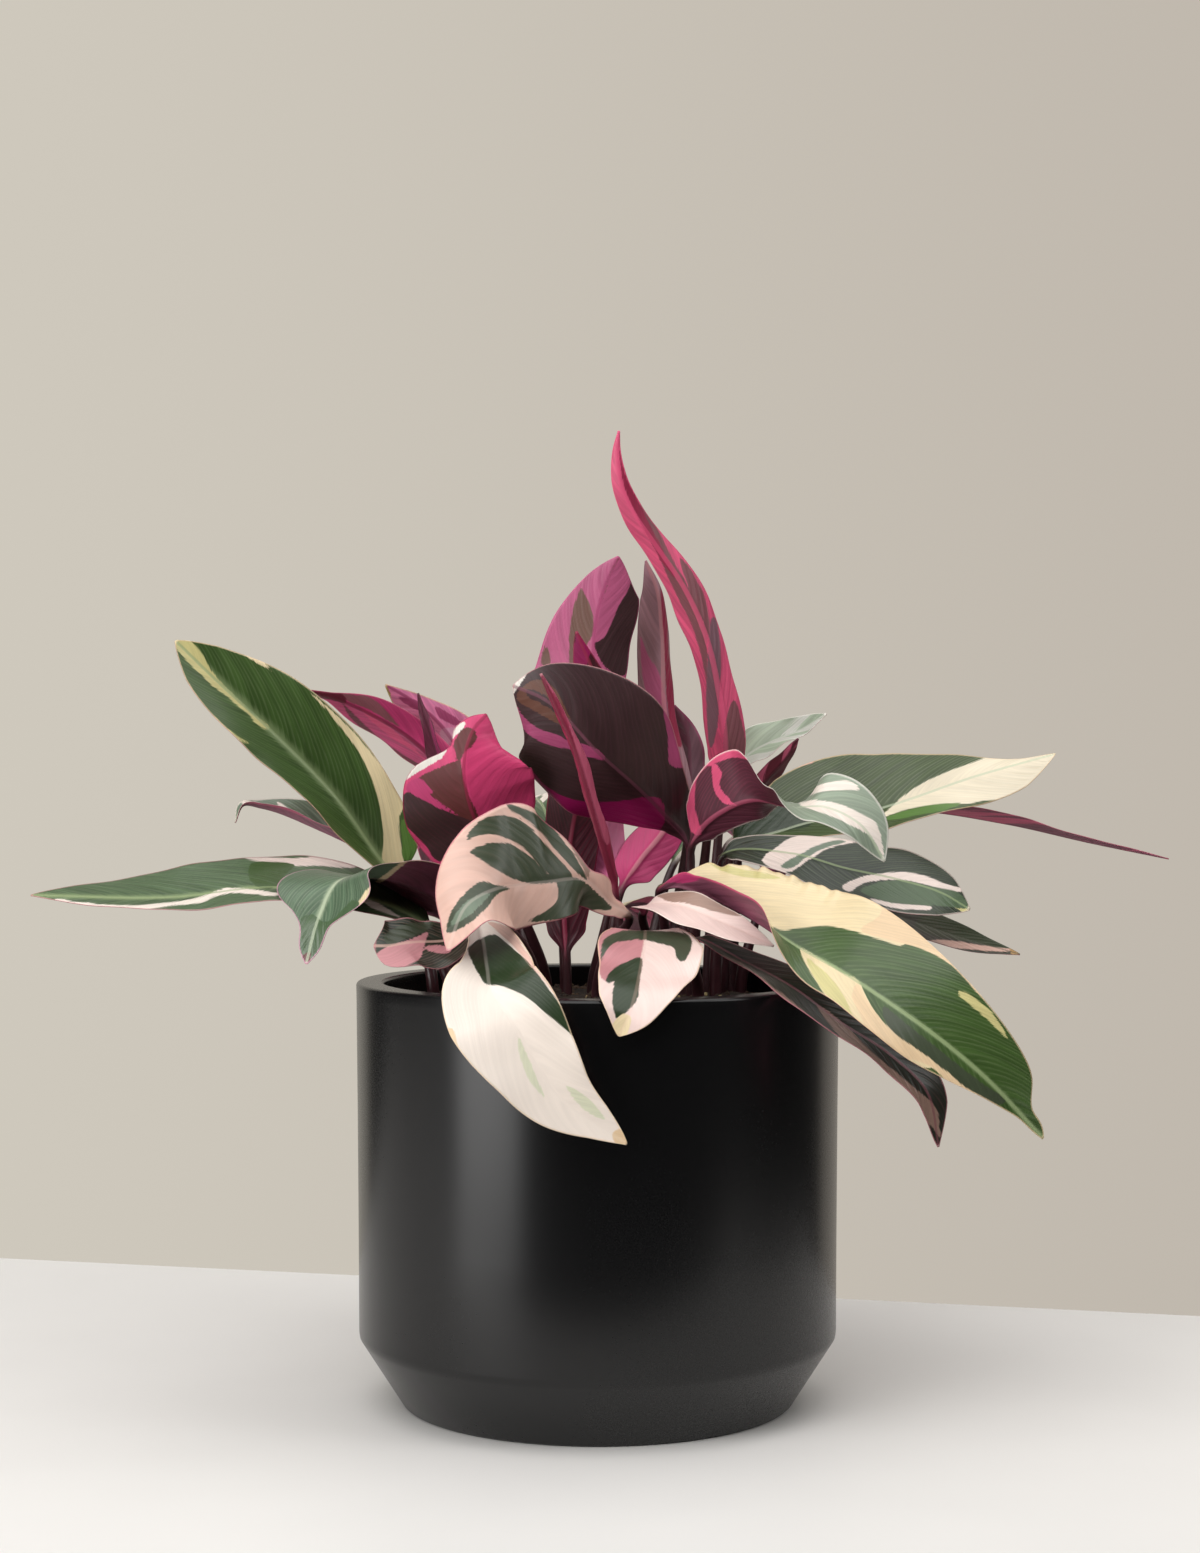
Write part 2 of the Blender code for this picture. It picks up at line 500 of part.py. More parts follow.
def make_leaf(name, leaf, material, collection):
    """A closed solid lofted through a leaf's rings, split alike on both faces."""
    rings = leaf_rings(leaf)
    shape = bmesh.new()
    rows = [[shape.verts.new(point * MM) for point in ring] for ring in rings]
    count = len(rows[0])
    for low, high in zip(rows, rows[1:]):
        for j in range(count):
            k = (j + 1) % count
            left_half = j < BLADE_COLUMNS // 2 or j > count - 2 - BLADE_COLUMNS // 2
            rising = left_half == (j <= BLADE_COLUMNS)
            if rising:
                shape.faces.new((low[j], low[k], high[j]))
                shape.faces.new((low[k], high[k], high[j]))
            else:
                shape.faces.new((low[j], low[k], high[k]))
                shape.faces.new((low[j], high[k], high[j]))
    shape.faces.new(rows[0][::-1])
    shape.faces.new(rows[-1])
    bmesh.ops.recalc_face_normals(shape, faces=shape.faces)
    mesh = bpy.data.meshes.new(name)
    shape.to_mesh(mesh)
    shape.free()
    mesh.shade_smooth()
    return add_object(name, mesh, material, collection)


def main():
    """Clear the scene and build the pot, the soil and every leaf."""
    for item in list(bpy.data.objects):
        bpy.data.objects.remove(item)
    plant = bpy.data.collections.new("potted_prayer_plant")
    cutters = bpy.data.collections.new("cutters")
    for collection in (plant, cutters):
        bpy.context.scene.collection.children.link(collection)
    make_pot(make_material("pot_black", (0.012, 0.012, 0.013, 1.0), 0.45), plant)
    make_soil(make_material("soil_brown", (0.05, 0.03, 0.02, 1.0), 0.95), plant, cutters)
    for name, leaf in LEAVES.items():
        material = make_material(name + "_" + leaf.colour, LEAF_COLOURS[leaf.colour], 0.4)
        make_leaf(name, leaf, material, plant)


main()
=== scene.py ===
"""Looks of a potted prayer plant: fine leaves with painted variegation, a satin pot and crumbled soil.

Leaf shapes are in millimetres until a mesh is made, X to the right, Y away from the camera, Z up.
Patches of colour are outlines in the photograph's 1200 x 1553 frame, laid on the leaf they belong to.
"""
import math
from typing import NamedTuple

import bmesh
import bpy
import numpy as np
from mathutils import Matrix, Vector


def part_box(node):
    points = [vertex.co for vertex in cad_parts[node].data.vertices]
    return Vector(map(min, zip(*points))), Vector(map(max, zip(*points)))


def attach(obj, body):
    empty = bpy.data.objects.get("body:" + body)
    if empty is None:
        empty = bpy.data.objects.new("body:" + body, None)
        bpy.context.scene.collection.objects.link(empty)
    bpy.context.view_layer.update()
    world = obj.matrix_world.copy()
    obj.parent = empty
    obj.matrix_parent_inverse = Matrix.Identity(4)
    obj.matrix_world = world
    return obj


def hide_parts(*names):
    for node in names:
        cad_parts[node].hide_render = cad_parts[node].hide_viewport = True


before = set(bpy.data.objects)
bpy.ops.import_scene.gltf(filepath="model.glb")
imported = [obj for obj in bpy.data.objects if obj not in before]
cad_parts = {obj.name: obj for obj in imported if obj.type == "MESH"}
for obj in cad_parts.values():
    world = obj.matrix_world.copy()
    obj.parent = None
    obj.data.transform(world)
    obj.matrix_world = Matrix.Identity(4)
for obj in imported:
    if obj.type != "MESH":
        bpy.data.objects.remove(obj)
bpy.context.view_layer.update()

MM = 0.001

# Camera, level, in front of the pot
CAMERA_AT = (1.0, -1080.0, 258.3)
FOCAL_PX = 2596.0
PHOTO_WIDTH = 1200.0
PHOTO_HEIGHT = 1553.0
SENSOR = 36.0

# Stalks
HOLE_FLOOR = 150.3
STALK_CLEAR = 168.0
STALK_RADIUS_LOW = 2.6
STALK_RADIUS_HIGH = 1.7
STALK_STEP = 3.0
LEAST_STALK_ROWS = 6
STALK_PAINT = "stalk_maroon"

# Blades; NECK and STATIONS are shares of the blade's length
NECK = 0.08
TIP_HALF_WIDTH = 0.5
STATIONS = (0.0, 0.1, 0.3, 0.5, 0.7, 0.9, 1.0)
COLUMNS = 36
ROW_STEP = 1.25
LEAST_ROWS = 24
BLADE_THICKNESS = 0.5
HEM_THICKNESS = 0.22
MIDRIB_DEPTH = 1.0
MIDRIB_HALF_WIDTH = 1.2
MIDRIB_ROUND = 1.6
MIDRIB_ROUND_SHARE = 0.8
GROOVE_DEPTH = 0.35
GROOVE_HALF_WIDTH = 1.3
VEIN_BEND = 1.4
WAVE_LAG = 2.2
PLEAT_PITCH = 7.5
PLEAT_HEIGHT = 0.10
PLEAT_FADE = 3.0
FINE_PLEAT_SHARE = 0.43
CRIMP_PITCH = 23.0
CRIMP_HEIGHT = 0.22
CRIMP_LAG = 1.7
CRINKLE_LONG = 1.9
CRINKLE_SHORT = 1.1

# Paint on the blades
LAYERS = ("first", "second", "third", "fourth")
FAR_OUTSIDE = -20.0
GROUND_DARKER = 0.26
GROUND_LIGHTER = 0.18
VEIN_LINE_PITCH = 3.6
VEIN_LINE_SHARE = 0.17
VEIN_LINE_ON_PATCH = 0.07
GLOW_SHARE = 0.62
LEAF_ROUGHNESS = 0.47
UPPER_FACE_GLOSS = 0.15

# Pot and soil
POT_EDGE = 1.4
POT_FLOOR = 12.0
POT_FLOOR_RADIUS = 71.0
POT_WALL_RADIUS_LOW = 87.4
POT_MOUTH_RADIUS = 88.6
POT_CREASE = 27.5
POT_CREASE_RADIUS = 98.7
POT_FOOT_RADIUS = 80.0
POT_STEPS = 160
POT_ARC_STEPS = 6
SOIL_TOP = 165.0
SOIL_SKIN = 4.0
SOIL_CROWN = 0.6
SOIL_DROP = 1.4
SOIL_DROP_RADIUS = 84.0
SOIL_STEPS = 128
SEAT_GAP = 0.3

# Stage and lamps, in metres and watts
TABLE_BACK_LEFT = (-1.6, 0.627)
TABLE_BACK_RIGHT = (0.45, 0.123)
TABLE_FRONT = -0.27
TABLE_THICKNESS = 0.04
WALL_DEPTH = 2.2
WALL_SIDES = (-2.0, 2.6)
WALL_HEIGHTS = (-1.2, 2.6)
LAMP_COLOUR = (1.0, 0.99, 0.98)
LAMP_AIM = (0.0, 0.0, 0.2)
LAMPS = {
    "window_light": ((-1.17, -0.96, 0.36), 0.85, 1.05, 15.0),
    "front_light": ((-0.45, -1.5, 1.45), 1.3, 1.0, 9.0),
    "overhead_light": ((0.05, -0.35, 2.0), 3.2, 2.6, 47.0),
    "right_light": ((1.5, -0.7, 1.0), 0.5, 0.8, 4.5),
}
AIR_GLOW = 0.04


class Leaf(NamedTuple):
    """One leaf: where it grows, the line of its midrib and the shape across it.

    up is where the upper face looks, left and right are the widths at the inner stations, fold lifts
    both halves and curl bends them further, in degrees, and wave is the ripples' height and count.
    """

    foot: tuple
    stalk: list
    blade: list
    up: list
    left: tuple
    right: tuple
    fold: tuple = (20, 15, 10)
    curl: tuple = (0, 0)
    wave: tuple = (0.8, 3)


LEAVES = {
    "leaf_left_upright": Leaf(
        foot=(-62, 14), stalk=[(-70, 15, 190)],
        blade=[
            (-82, 14, 211), (-93, 10, 226), (-108, 4, 248), (-132, -4, 274), (-157, -12, 298),
            (-173, -16, 314)],
        up=[(0.51, -0.83, 0.22), (0.51, -0.83, 0.22), (0.4, -0.86, 0.3)],
        left=(8, 19, 21, 20, 11), right=(17, 23, 25, 22, 11), fold=(38, 34, 16)),
    "leaf_left_narrow": Leaf(
        foot=(-70, 24), stalk=[(-72, 26, 184)],
        blade=[
            (-75, 28, 200), (-96, 26, 224), (-120, 20, 237), (-141, 14, 245), (-149, 10, 246),
            (-152, 8, 239)],
        up=[(0.2, -0.35, 0.9), (0.2, -0.35, 0.9), (-0.6, -0.2, 0.8)],
        left=(4, 8, 9, 7, 3), right=(5, 11, 13, 10, 4), fold=(50, 50, 40)),
    "leaf_left_long": Leaf(
        foot=(-56, 2), stalk=[(-59, 0, 181)],
        blade=[(-66, -2, 192), (-102, -8, 210), (-132, -12, 213), (-174, -16, 209), (-231, -22, 210)],
        up=[(0.1, -0.44, 0.9), (0.0, -0.44, 0.9), (0.0, -0.44, 0.9)],
        left=(12, 16, 14, 11, 5), right=(12, 22, 25, 22, 10), fold=(10, 4, -4)),
    "leaf_left_drooping": Leaf(
        foot=(-47, 10), stalk=[(-49, 5, 182)],
        blade=[
            (-53, 0, 197), (-69, -9, 210), (-87, -19, 217), (-105, -29, 216), (-112, -36, 202),
            (-117, -38, 183)],
        up=[(0.2, 0.85, 0.45), (0.0, 0.15, 1.0), (-0.3, -0.85, 0.4)],
        left=(10, 20, 24, 26, 7), right=(13, 23, 23, 26, 8), fold=(20, 8, 10)),
    "leaf_magenta_left": Leaf(
        foot=(-50, 40), stalk=[(-52, 45, 200)],
        blade=[
            (-56, 50, 235), (-68, 46, 262), (-81, 42, 275), (-97, 36, 285), (-110, 30, 291),
            (-123, 24, 295)],
        up=[(0.1, 0.9, 0.45)] * 3,
        left=(6, 9, 9, 8, 2), right=(7, 12, 14, 12, 3), fold=(30, 30, 20)),
    "leaf_pink_tip": Leaf(
        foot=(-42, 52), stalk=[(-44, 60, 200)],
        blade=[(-45, 66, 235), (-56, 64, 261), (-69, 60, 281), (-82, 52, 292), (-92, 44, 298)],
        up=[(0.3, 0.85, -0.2), (0.3, 0.85, -0.3), (0.3, 0.85, -0.3)],
        left=(7, 13, 13, 7, 2), right=(8, 15, 16, 13, 6)),
    "leaf_left_spear": Leaf(
        foot=(-60, 34), stalk=[(-60, 36, 200)],
        blade=[(-61, 38, 231), (-68, 36, 263), (-73, 34, 280), (-77, 32, 294)],
        up=[(-0.2, -0.95, -0.1)] * 3,
        left=(3, 5, 5, 4, 2), right=(3, 6, 6, 5, 2), fold=(50, 50, 50)),
    "leaf_broad_pink": Leaf(
        foot=(-22, 34), stalk=[(-28, 22, 190)],
        blade=[
            (-39, 10, 215), (-49, 0, 236), (-53.5, -8, 250), (-55, -11, 262), (-54, -11, 270),
            (-51, -9, 278), (-46, -6, 284)],
        up=[(0.0, 0.97, 0.1), (0.0, 0.97, 0.1), (0.0, 0.95, 0.15)],
        left=(15, 26, 29, 27, 19), right=(18, 28, 29, 23, 6), wave=(0.3, 3)),
    "leaf_dark_oval": Leaf(
        foot=(36, 32), stalk=[(38, 31, 200)],
        blade=[(39, 28, 230), (28, 14, 243), (18, 4, 253), (1, -6, 268), (-23, -8, 291), (-35, -4, 296)],
        up=[(0.15, 0.93, 0.33)] * 3,
        left=(9, 19, 31, 30, 14), right=(7, 30, 33, 32, 24)),
    "leaf_rolled": Leaf(
        foot=(10, 8), stalk=[(10, 5, 188)],
        blade=[
            (8, 0, 209), (3, -8, 228), (-3, -16, 249), (-9, -22, 269), (-17, -26, 287), (-23, -28, 300)],
        up=[(0.2, 0.9, 0.35)] * 3,
        left=(4, 6, 6, 5, 3), right=(4, 7, 7, 6, 3), fold=(20, 20, 20), curl=(110, 110)),
    "leaf_upper_pink": Leaf(
        foot=(-2, 38), stalk=[(2, 32, 188)],
        blade=[
            (6, 30, 210), (2, 40, 235), (-2, 46, 274), (-2, 44, 304), (-1, 42, 325), (3, 40, 340),
            (9, 36, 353)],
        up=[(0.0, 0.95, 0.1)] * 3,
        left=(8, 10, 11, 16, 16), right=(12, 22, 30, 24, 10)),
    "leaf_centre_young": Leaf(
        foot=(-13, 26), stalk=[(-13, 26, 174)],
        blade=[
            (-13, 26, 181), (-14, 27, 199), (-12, 28, 227), (-5, 30, 265), (0, 28, 295), (-9, 22, 320)],
        up=[(0.2, 0.9, 0.2)] * 3,
        left=(9, 12, 12, 9, 3), right=(9, 12, 14, 15, 8)),
    "leaf_upper_narrow": Leaf(
        foot=(4, 22), stalk=[(6, 22, 188)],
        blade=[
            (10, 22, 209), (18, 32, 222), (28, 44, 234), (36, 56, 248), (36, 62, 263), (31, 62, 278),
            (28, 62, 323), (26, 60, 340), (21, 58, 353)],
        up=[(0.2, 0.9, 0.0), (-0.2, 0.9, 0.0), (-0.35, 0.94, 0.0)],
        left=(9, 10, 7, 8, 4), right=(10, 10, 11, 13, 9), fold=(12, 45, 45)),
    "leaf_tall_twisted": Leaf(
        foot=(48, 46), stalk=[(51, 45, 215)],
        blade=[
            (54, 44, 252), (55, 40, 273), (52, 38, 296), (47, 34, 317), (37, 30, 339), (24, 26, 358),
            (15, 22, 371), (9, 18, 385), (8, 16, 396), (9, 14, 404)],
        up=[(0.15, 0.95, 0.1)] * 3,
        left=(12, 9, 10, 6, 3), right=(13, 14, 14, 8, 3), fold=(50, 50, 15)),
    "leaf_back_grey": Leaf(
        foot=(42, 70), stalk=[(46, 75, 215)],
        blade=[(54, 76, 254), (68, 76, 269), (80, 74, 275), (90, 72, 279), (101, 68, 286)],
        up=[(-0.4, -0.6, 0.7), (-0.2, -0.6, 0.7), (-0.2, -0.6, 0.7)],
        left=(6, 11, 12, 9, 5), right=(8, 11, 10, 6, 3)),
    "leaf_right_spears": Leaf(
        foot=(59, 56), stalk=[(60, 59, 205)],
        blade=[(64, 60, 240), (73, 61, 256), (82, 60, 266), (88, 60, 275)],
        up=[(-0.4, 0.8, 0.3)] * 3,
        left=(3, 5, 5, 4, 2), right=(3, 5, 5, 4, 2)),
    "leaf_curled_magenta": Leaf(
        foot=(40, 22), stalk=[(41, 18, 200)],
        blade=[
            (41, 14, 230), (45, 6, 238), (52, -2, 244), (65, -14, 249), (80, -22, 246), (92, -28, 246),
            (106, -32, 239), (116, -32, 224)],
        up=[
            (0.6, 0.6, 0.3), (0.5, 0.75, 0.3), (0.4, 0.8, 0.35), (0.0, 0.2, 0.95), (0.1, -0.65, 0.7),
            (0.1, -0.65, 0.7), (0.3, -0.7, 0.5)],
        left=(7, 10, 14, 18, 10), right=(14, 22, 18, 14, 8)),
    "leaf_right_cream_tip": Leaf(
        foot=(54, 38), stalk=[(56, 43, 200)],
        blade=[(58, 48, 225), (83, 46, 236), (123, 38, 245), (163, 28, 259), (194, 20, 268)],
        up=[(-0.15, -0.73, 0.68)] * 3,
        left=(16, 28, 25, 16, 4), right=(12, 17, 18, 16, 11), fold=(27, 20, -28)),
    "leaf_right_edge_on": Leaf(
        foot=(50, 62), stalk=[(52, 68, 205)],
        blade=[
            (56, 74, 228), (94, 77, 239), (133, 72, 244), (179, 56, 238), (213, 46, 230), (246, 38, 223)],
        up=[(-0.1, 0.1, 1.0), (-0.1, 0.1, 1.0), (0.2, 0.1, 1.0)],
        left=(8, 13, 15, 13, 5), right=(8, 13, 15, 13, 5)),
    "leaf_right_striped": Leaf(
        foot=(50, 26), stalk=[(51, 26, 200)],
        blade=[(52, 26, 224), (82, 17, 226), (104, 10, 220), (127, 4, 215), (143, 1, 210), (155, 0, 203)],
        up=[(0.1, -0.6, 0.78), (0.1, -0.6, 0.78), (0.2, -0.6, 0.78)],
        left=(7, 13, 18, 20, 13), right=(8, 16, 20, 22, 15), fold=(6, 2, 0)),
    "leaf_right_dark": Leaf(
        foot=(62, 44), stalk=[(66, 46, 190)],
        blade=[(71, 48, 205), (96, 44, 206), (130, 34, 198), (154, 26, 190), (179, 20, 183)],
        up=[(0.1, -0.35, 0.93), (0.1, -0.35, 0.93), (0.2, -0.35, 0.93)],
        left=(8, 16, 18, 14, 7), right=(9, 15, 17, 15, 9), fold=(8, 2, 2)),
    "leaf_big_right": Leaf(
        foot=(28, 10), stalk=[(28, -4, 195)],
        blade=[
            (26, -18, 214), (43, -34, 211), (64, -56, 201), (78, -70, 192), (93, -84, 184),
            (110, -94, 173), (127, -100, 161), (145, -102, 146), (169, -96, 121)],
        up=[
            (0.2, 0.1, 0.97), (0.2, -0.1, 0.97), (-0.1, -0.75, 0.6), (-0.2, -0.9, 0.3),
            (-0.2, -0.9, 0.2)],
        left=(16, 27, 30, 24, 13), right=(9, 14, 15, 14, 4), fold=(58, 50, 18, 8, 5)),
    "leaf_pale_small": Leaf(
        foot=(22, 2), stalk=[(20, -12, 192)],
        blade=[(18, -28, 205), (33, -46, 207), (49, -56, 201), (69, -64, 192)],
        up=[(0.0, -0.5, 0.85), (0.0, -0.6, 0.8), (0.2, -0.5, 0.8)],
        left=(5, 8, 8, 7, 4), right=(8, 13, 14, 12, 6)),
    "leaf_right_trailing": Leaf(
        foot=(42, 4), stalk=[(40, -8, 180)],
        blade=[
            (38, -20, 192), (60, -44, 184), (78, -66, 175), (93, -76, 164), (113, -78, 151),
            (127, -78, 137), (132, -76, 115)],
        up=[(0.2, -0.4, 0.9), (0.3, -0.6, 0.6), (0.6, -0.7, 0.2)],
        left=(4, 10, 9, 9, 8), right=(5, 12, 10, 10, 7)),
    "leaf_front_small": Leaf(
        foot=(14, -6), stalk=[(17, -24, 188)],
        blade=[
            (19, -44, 197), (18, -66, 191), (16, -86, 182), (14, -99, 175), (12, -105, 169),
            (8, -107, 161)],
        up=[(0.0, -0.3, 0.9), (0.0, -0.6, 0.8), (0.0, -0.95, 0.2)],
        left=(14, 23, 23, 18, 8), right=(14, 18, 16, 15, 10), fold=(8, 8, 10)),
    "leaf_front_cream": Leaf(
        foot=(-26, 18), stalk=[(-36, -16, 196)],
        blade=[
            (-47, -50, 203), (-44, -74, 193), (-42, -90, 185), (-40, -101, 178), (-33, -108, 169),
            (-24, -112, 153), (-15, -113, 140), (11, -110, 121)],
        up=[(0.0, -0.3, 0.9), (0.1, -0.9, 0.4), (0.2, -0.97, 0.2)],
        left=(9, 17, 19, 16, 8), right=(4, 10, 25, 18, 6)),
    "leaf_front_striped": Leaf(
        foot=(0, 12), stalk=[(6, -12, 188)],
        blade=[
            (14, -34, 202), (5, -44, 208), (-4, -52, 217), (-20, -64, 217), (-31, -70, 216),
            (-39, -78, 215), (-50, -88, 209), (-57, -94, 192)],
        up=[(0.1, -0.9, 0.4), (0.1, -0.97, 0.05), (-0.4, -0.8, 0.4)],
        left=(4, 13, 16, 17, 9), right=(3, 14, 32, 26, 8), fold=(-5, 0, 0), curl=(0, -12)),
    "leaf_left_small": Leaf(
        foot=(-46, -8), stalk=[(-48, -14, 178)],
        blade=[(-52, -20, 192), (-64, -34, 192), (-76, -44, 192), (-84, -48, 191), (-89, -48, 191)],
        up=[(-0.2, -0.85, 0.5), (-0.2, -0.85, 0.5), (-0.3, -0.85, 0.5)],
        left=(5, 12, 17, 16, 10), right=(5, 9, 10, 11, 10)),
    "leaf_back_mauve": Leaf(
        foot=(32, 64), stalk=[(36, 72, 205)],
        blade=[(41, 78, 241), (41, 78, 261), (40, 76, 277), (34, 72, 290)],
        up=[(0.0, 0.9, 0.1)] * 3,
        left=(5, 7, 7, 5, 2), right=(5, 7, 7, 7, 3)),
    "leaf_rear_left": Leaf(
        foot=(-30, 60), stalk=[(-34, 72, 195)],
        blade=[(-38, 86, 218), (-48, 108, 232), (-60, 136, 234), (-72, 168, 222), (-78, 194, 202)],
        up=[(0.0, 0.3, 0.9), (0.0, 0.1, 0.95), (-0.1, 0.2, 0.9)],
        left=(12, 20, 22, 17, 7), right=(12, 20, 22, 17, 7)),
    "leaf_rear_middle": Leaf(
        foot=(-14, 60), stalk=[(-16, 74, 200)],
        blade=[(-20, 88, 230), (-26, 112, 246), (-34, 142, 248), (-42, 176, 236), (-48, 204, 214)],
        up=[(0.0, -0.3, 0.9), (0.0, 0.0, 0.95), (0.0, 0.3, 0.9)],
        left=(12, 21, 23, 18, 7), right=(12, 21, 23, 18, 7)),
    "leaf_rear_right": Leaf(
        foot=(22, 60), stalk=[(26, 76, 195)],
        blade=[(34, 94, 220), (48, 116, 234), (64, 142, 236), (80, 172, 224), (90, 196, 204)],
        up=[(0.0, 0.0, 0.95), (0.1, 0.1, 0.95), (0.1, 0.3, 0.9)],
        left=(11, 19, 21, 16, 6), right=(11, 19, 21, 16, 6)),
    "leaf_rear_low": Leaf(
        foot=(4, 66), stalk=[(4, 78, 185)],
        blade=[(6, 90, 197), (10, 108, 200), (18, 130, 194), (26, 152, 176), (30, 164, 156)],
        up=[(0.0, 0.0, 0.95), (0.1, 0.2, 0.95), (0.1, 0.6, 0.6)],
        left=(8, 15, 16, 12, 5), right=(8, 15, 16, 12, 5)),
}


class Patch(NamedTuple):
    """A patch of colour on one face of a leaf, with its outline as the photograph's camera sees it."""

    paint: str
    face: str
    outline: list


class Coat(NamedTuple):
    """The paints of one face: ground, up to four kinds of patch, midrib and hem.

    edge is the hem's width and trim its strength, veins and ridge are the strengths of the side veins
    and the midrib, and feather is how far the midrib's colour spreads, in millimetres.
    """

    ground: str
    first: str
    second: str = "cream"
    third: str = "cream"
    fourth: str = "cream"
    rib: str = "sage"
    hem: str = "cream"
    edge: float = 0.7
    trim: float = 0.6
    veins: float = 1.0
    feather: float = 0.0
    ridge: float = 0.6


class Look(NamedTuple):
    """A leaf's upper and under face and its patches.

    sweep is how far the side veins lean back, a nick is (side, place, depth, span) in a margin, and a
    crinkle is (side, start, end, height) of a puckered one.
    """

    top: Coat
    under: Coat
    patches: tuple = ()
    sweep: float = 2.2
    nicks: tuple = ()
    crinkle: tuple = ()


PAINTS = {
    "leaf_green": (62, 87, 40), "deep_green": (38, 56, 29), "fresh_green": (92, 128, 58),
    "muted_green": (77, 99, 68), "blue_green": (88, 110, 86), "grey_green": (112, 128, 108),
    "ink_green": (30, 42, 26), "olive_green": (58, 77, 27), "silver_green": (142, 156, 136),
    "black_green": (38, 44, 33), "slate_green": (66, 75, 56), "sage": (150, 168, 120),
    "pale_sage": (186, 198, 168), "ash": (206, 206, 196), "cream": (238, 218, 176),
    "milk": (246, 233, 221), "straw": (212, 202, 140), "pale_straw": (226, 226, 198),
    "peach": (236, 206, 166), "blush": (226, 186, 170), "white_pink": (240, 222, 212),
    "dusty_pink": (205, 140, 145), "rose": (200, 92, 122), "hot_pink": (222, 68, 122),
    "bright_pink": (244, 138, 184), "pale_pink": (238, 165, 198), "coral_pink": (234, 90, 132),
    "magenta": (204, 62, 120), "vivid_magenta": (150, 12, 86), "crimson": (158, 38, 74),
    "orchid": (176, 72, 118), "rosy_mauve": (196, 96, 138), "mauve": (130, 72, 92),
    "grey_mauve": (134, 96, 108), "mauve_brown": (138, 82, 90), "plum": (92, 44, 58),
    "dark_plum": (62, 34, 38), "dark_brown": (60, 36, 38), "brown_red": (102, 46, 46),
    "maroon": (104, 34, 50), "dark_maroon": (66, 16, 30), "lit_brown": (108, 66, 50),
    "olive_brown": (118, 84, 72), "taupe": (160, 130, 116), "tan": (186, 146, 92),
    "stalk_maroon": (66, 33, 38), "white": (246, 240, 230), "shell_pink": (238, 212, 204),
    "light_mauve": (168, 124, 136), "ivory": (238, 226, 200), "dull_sage": (168, 182, 158),
}

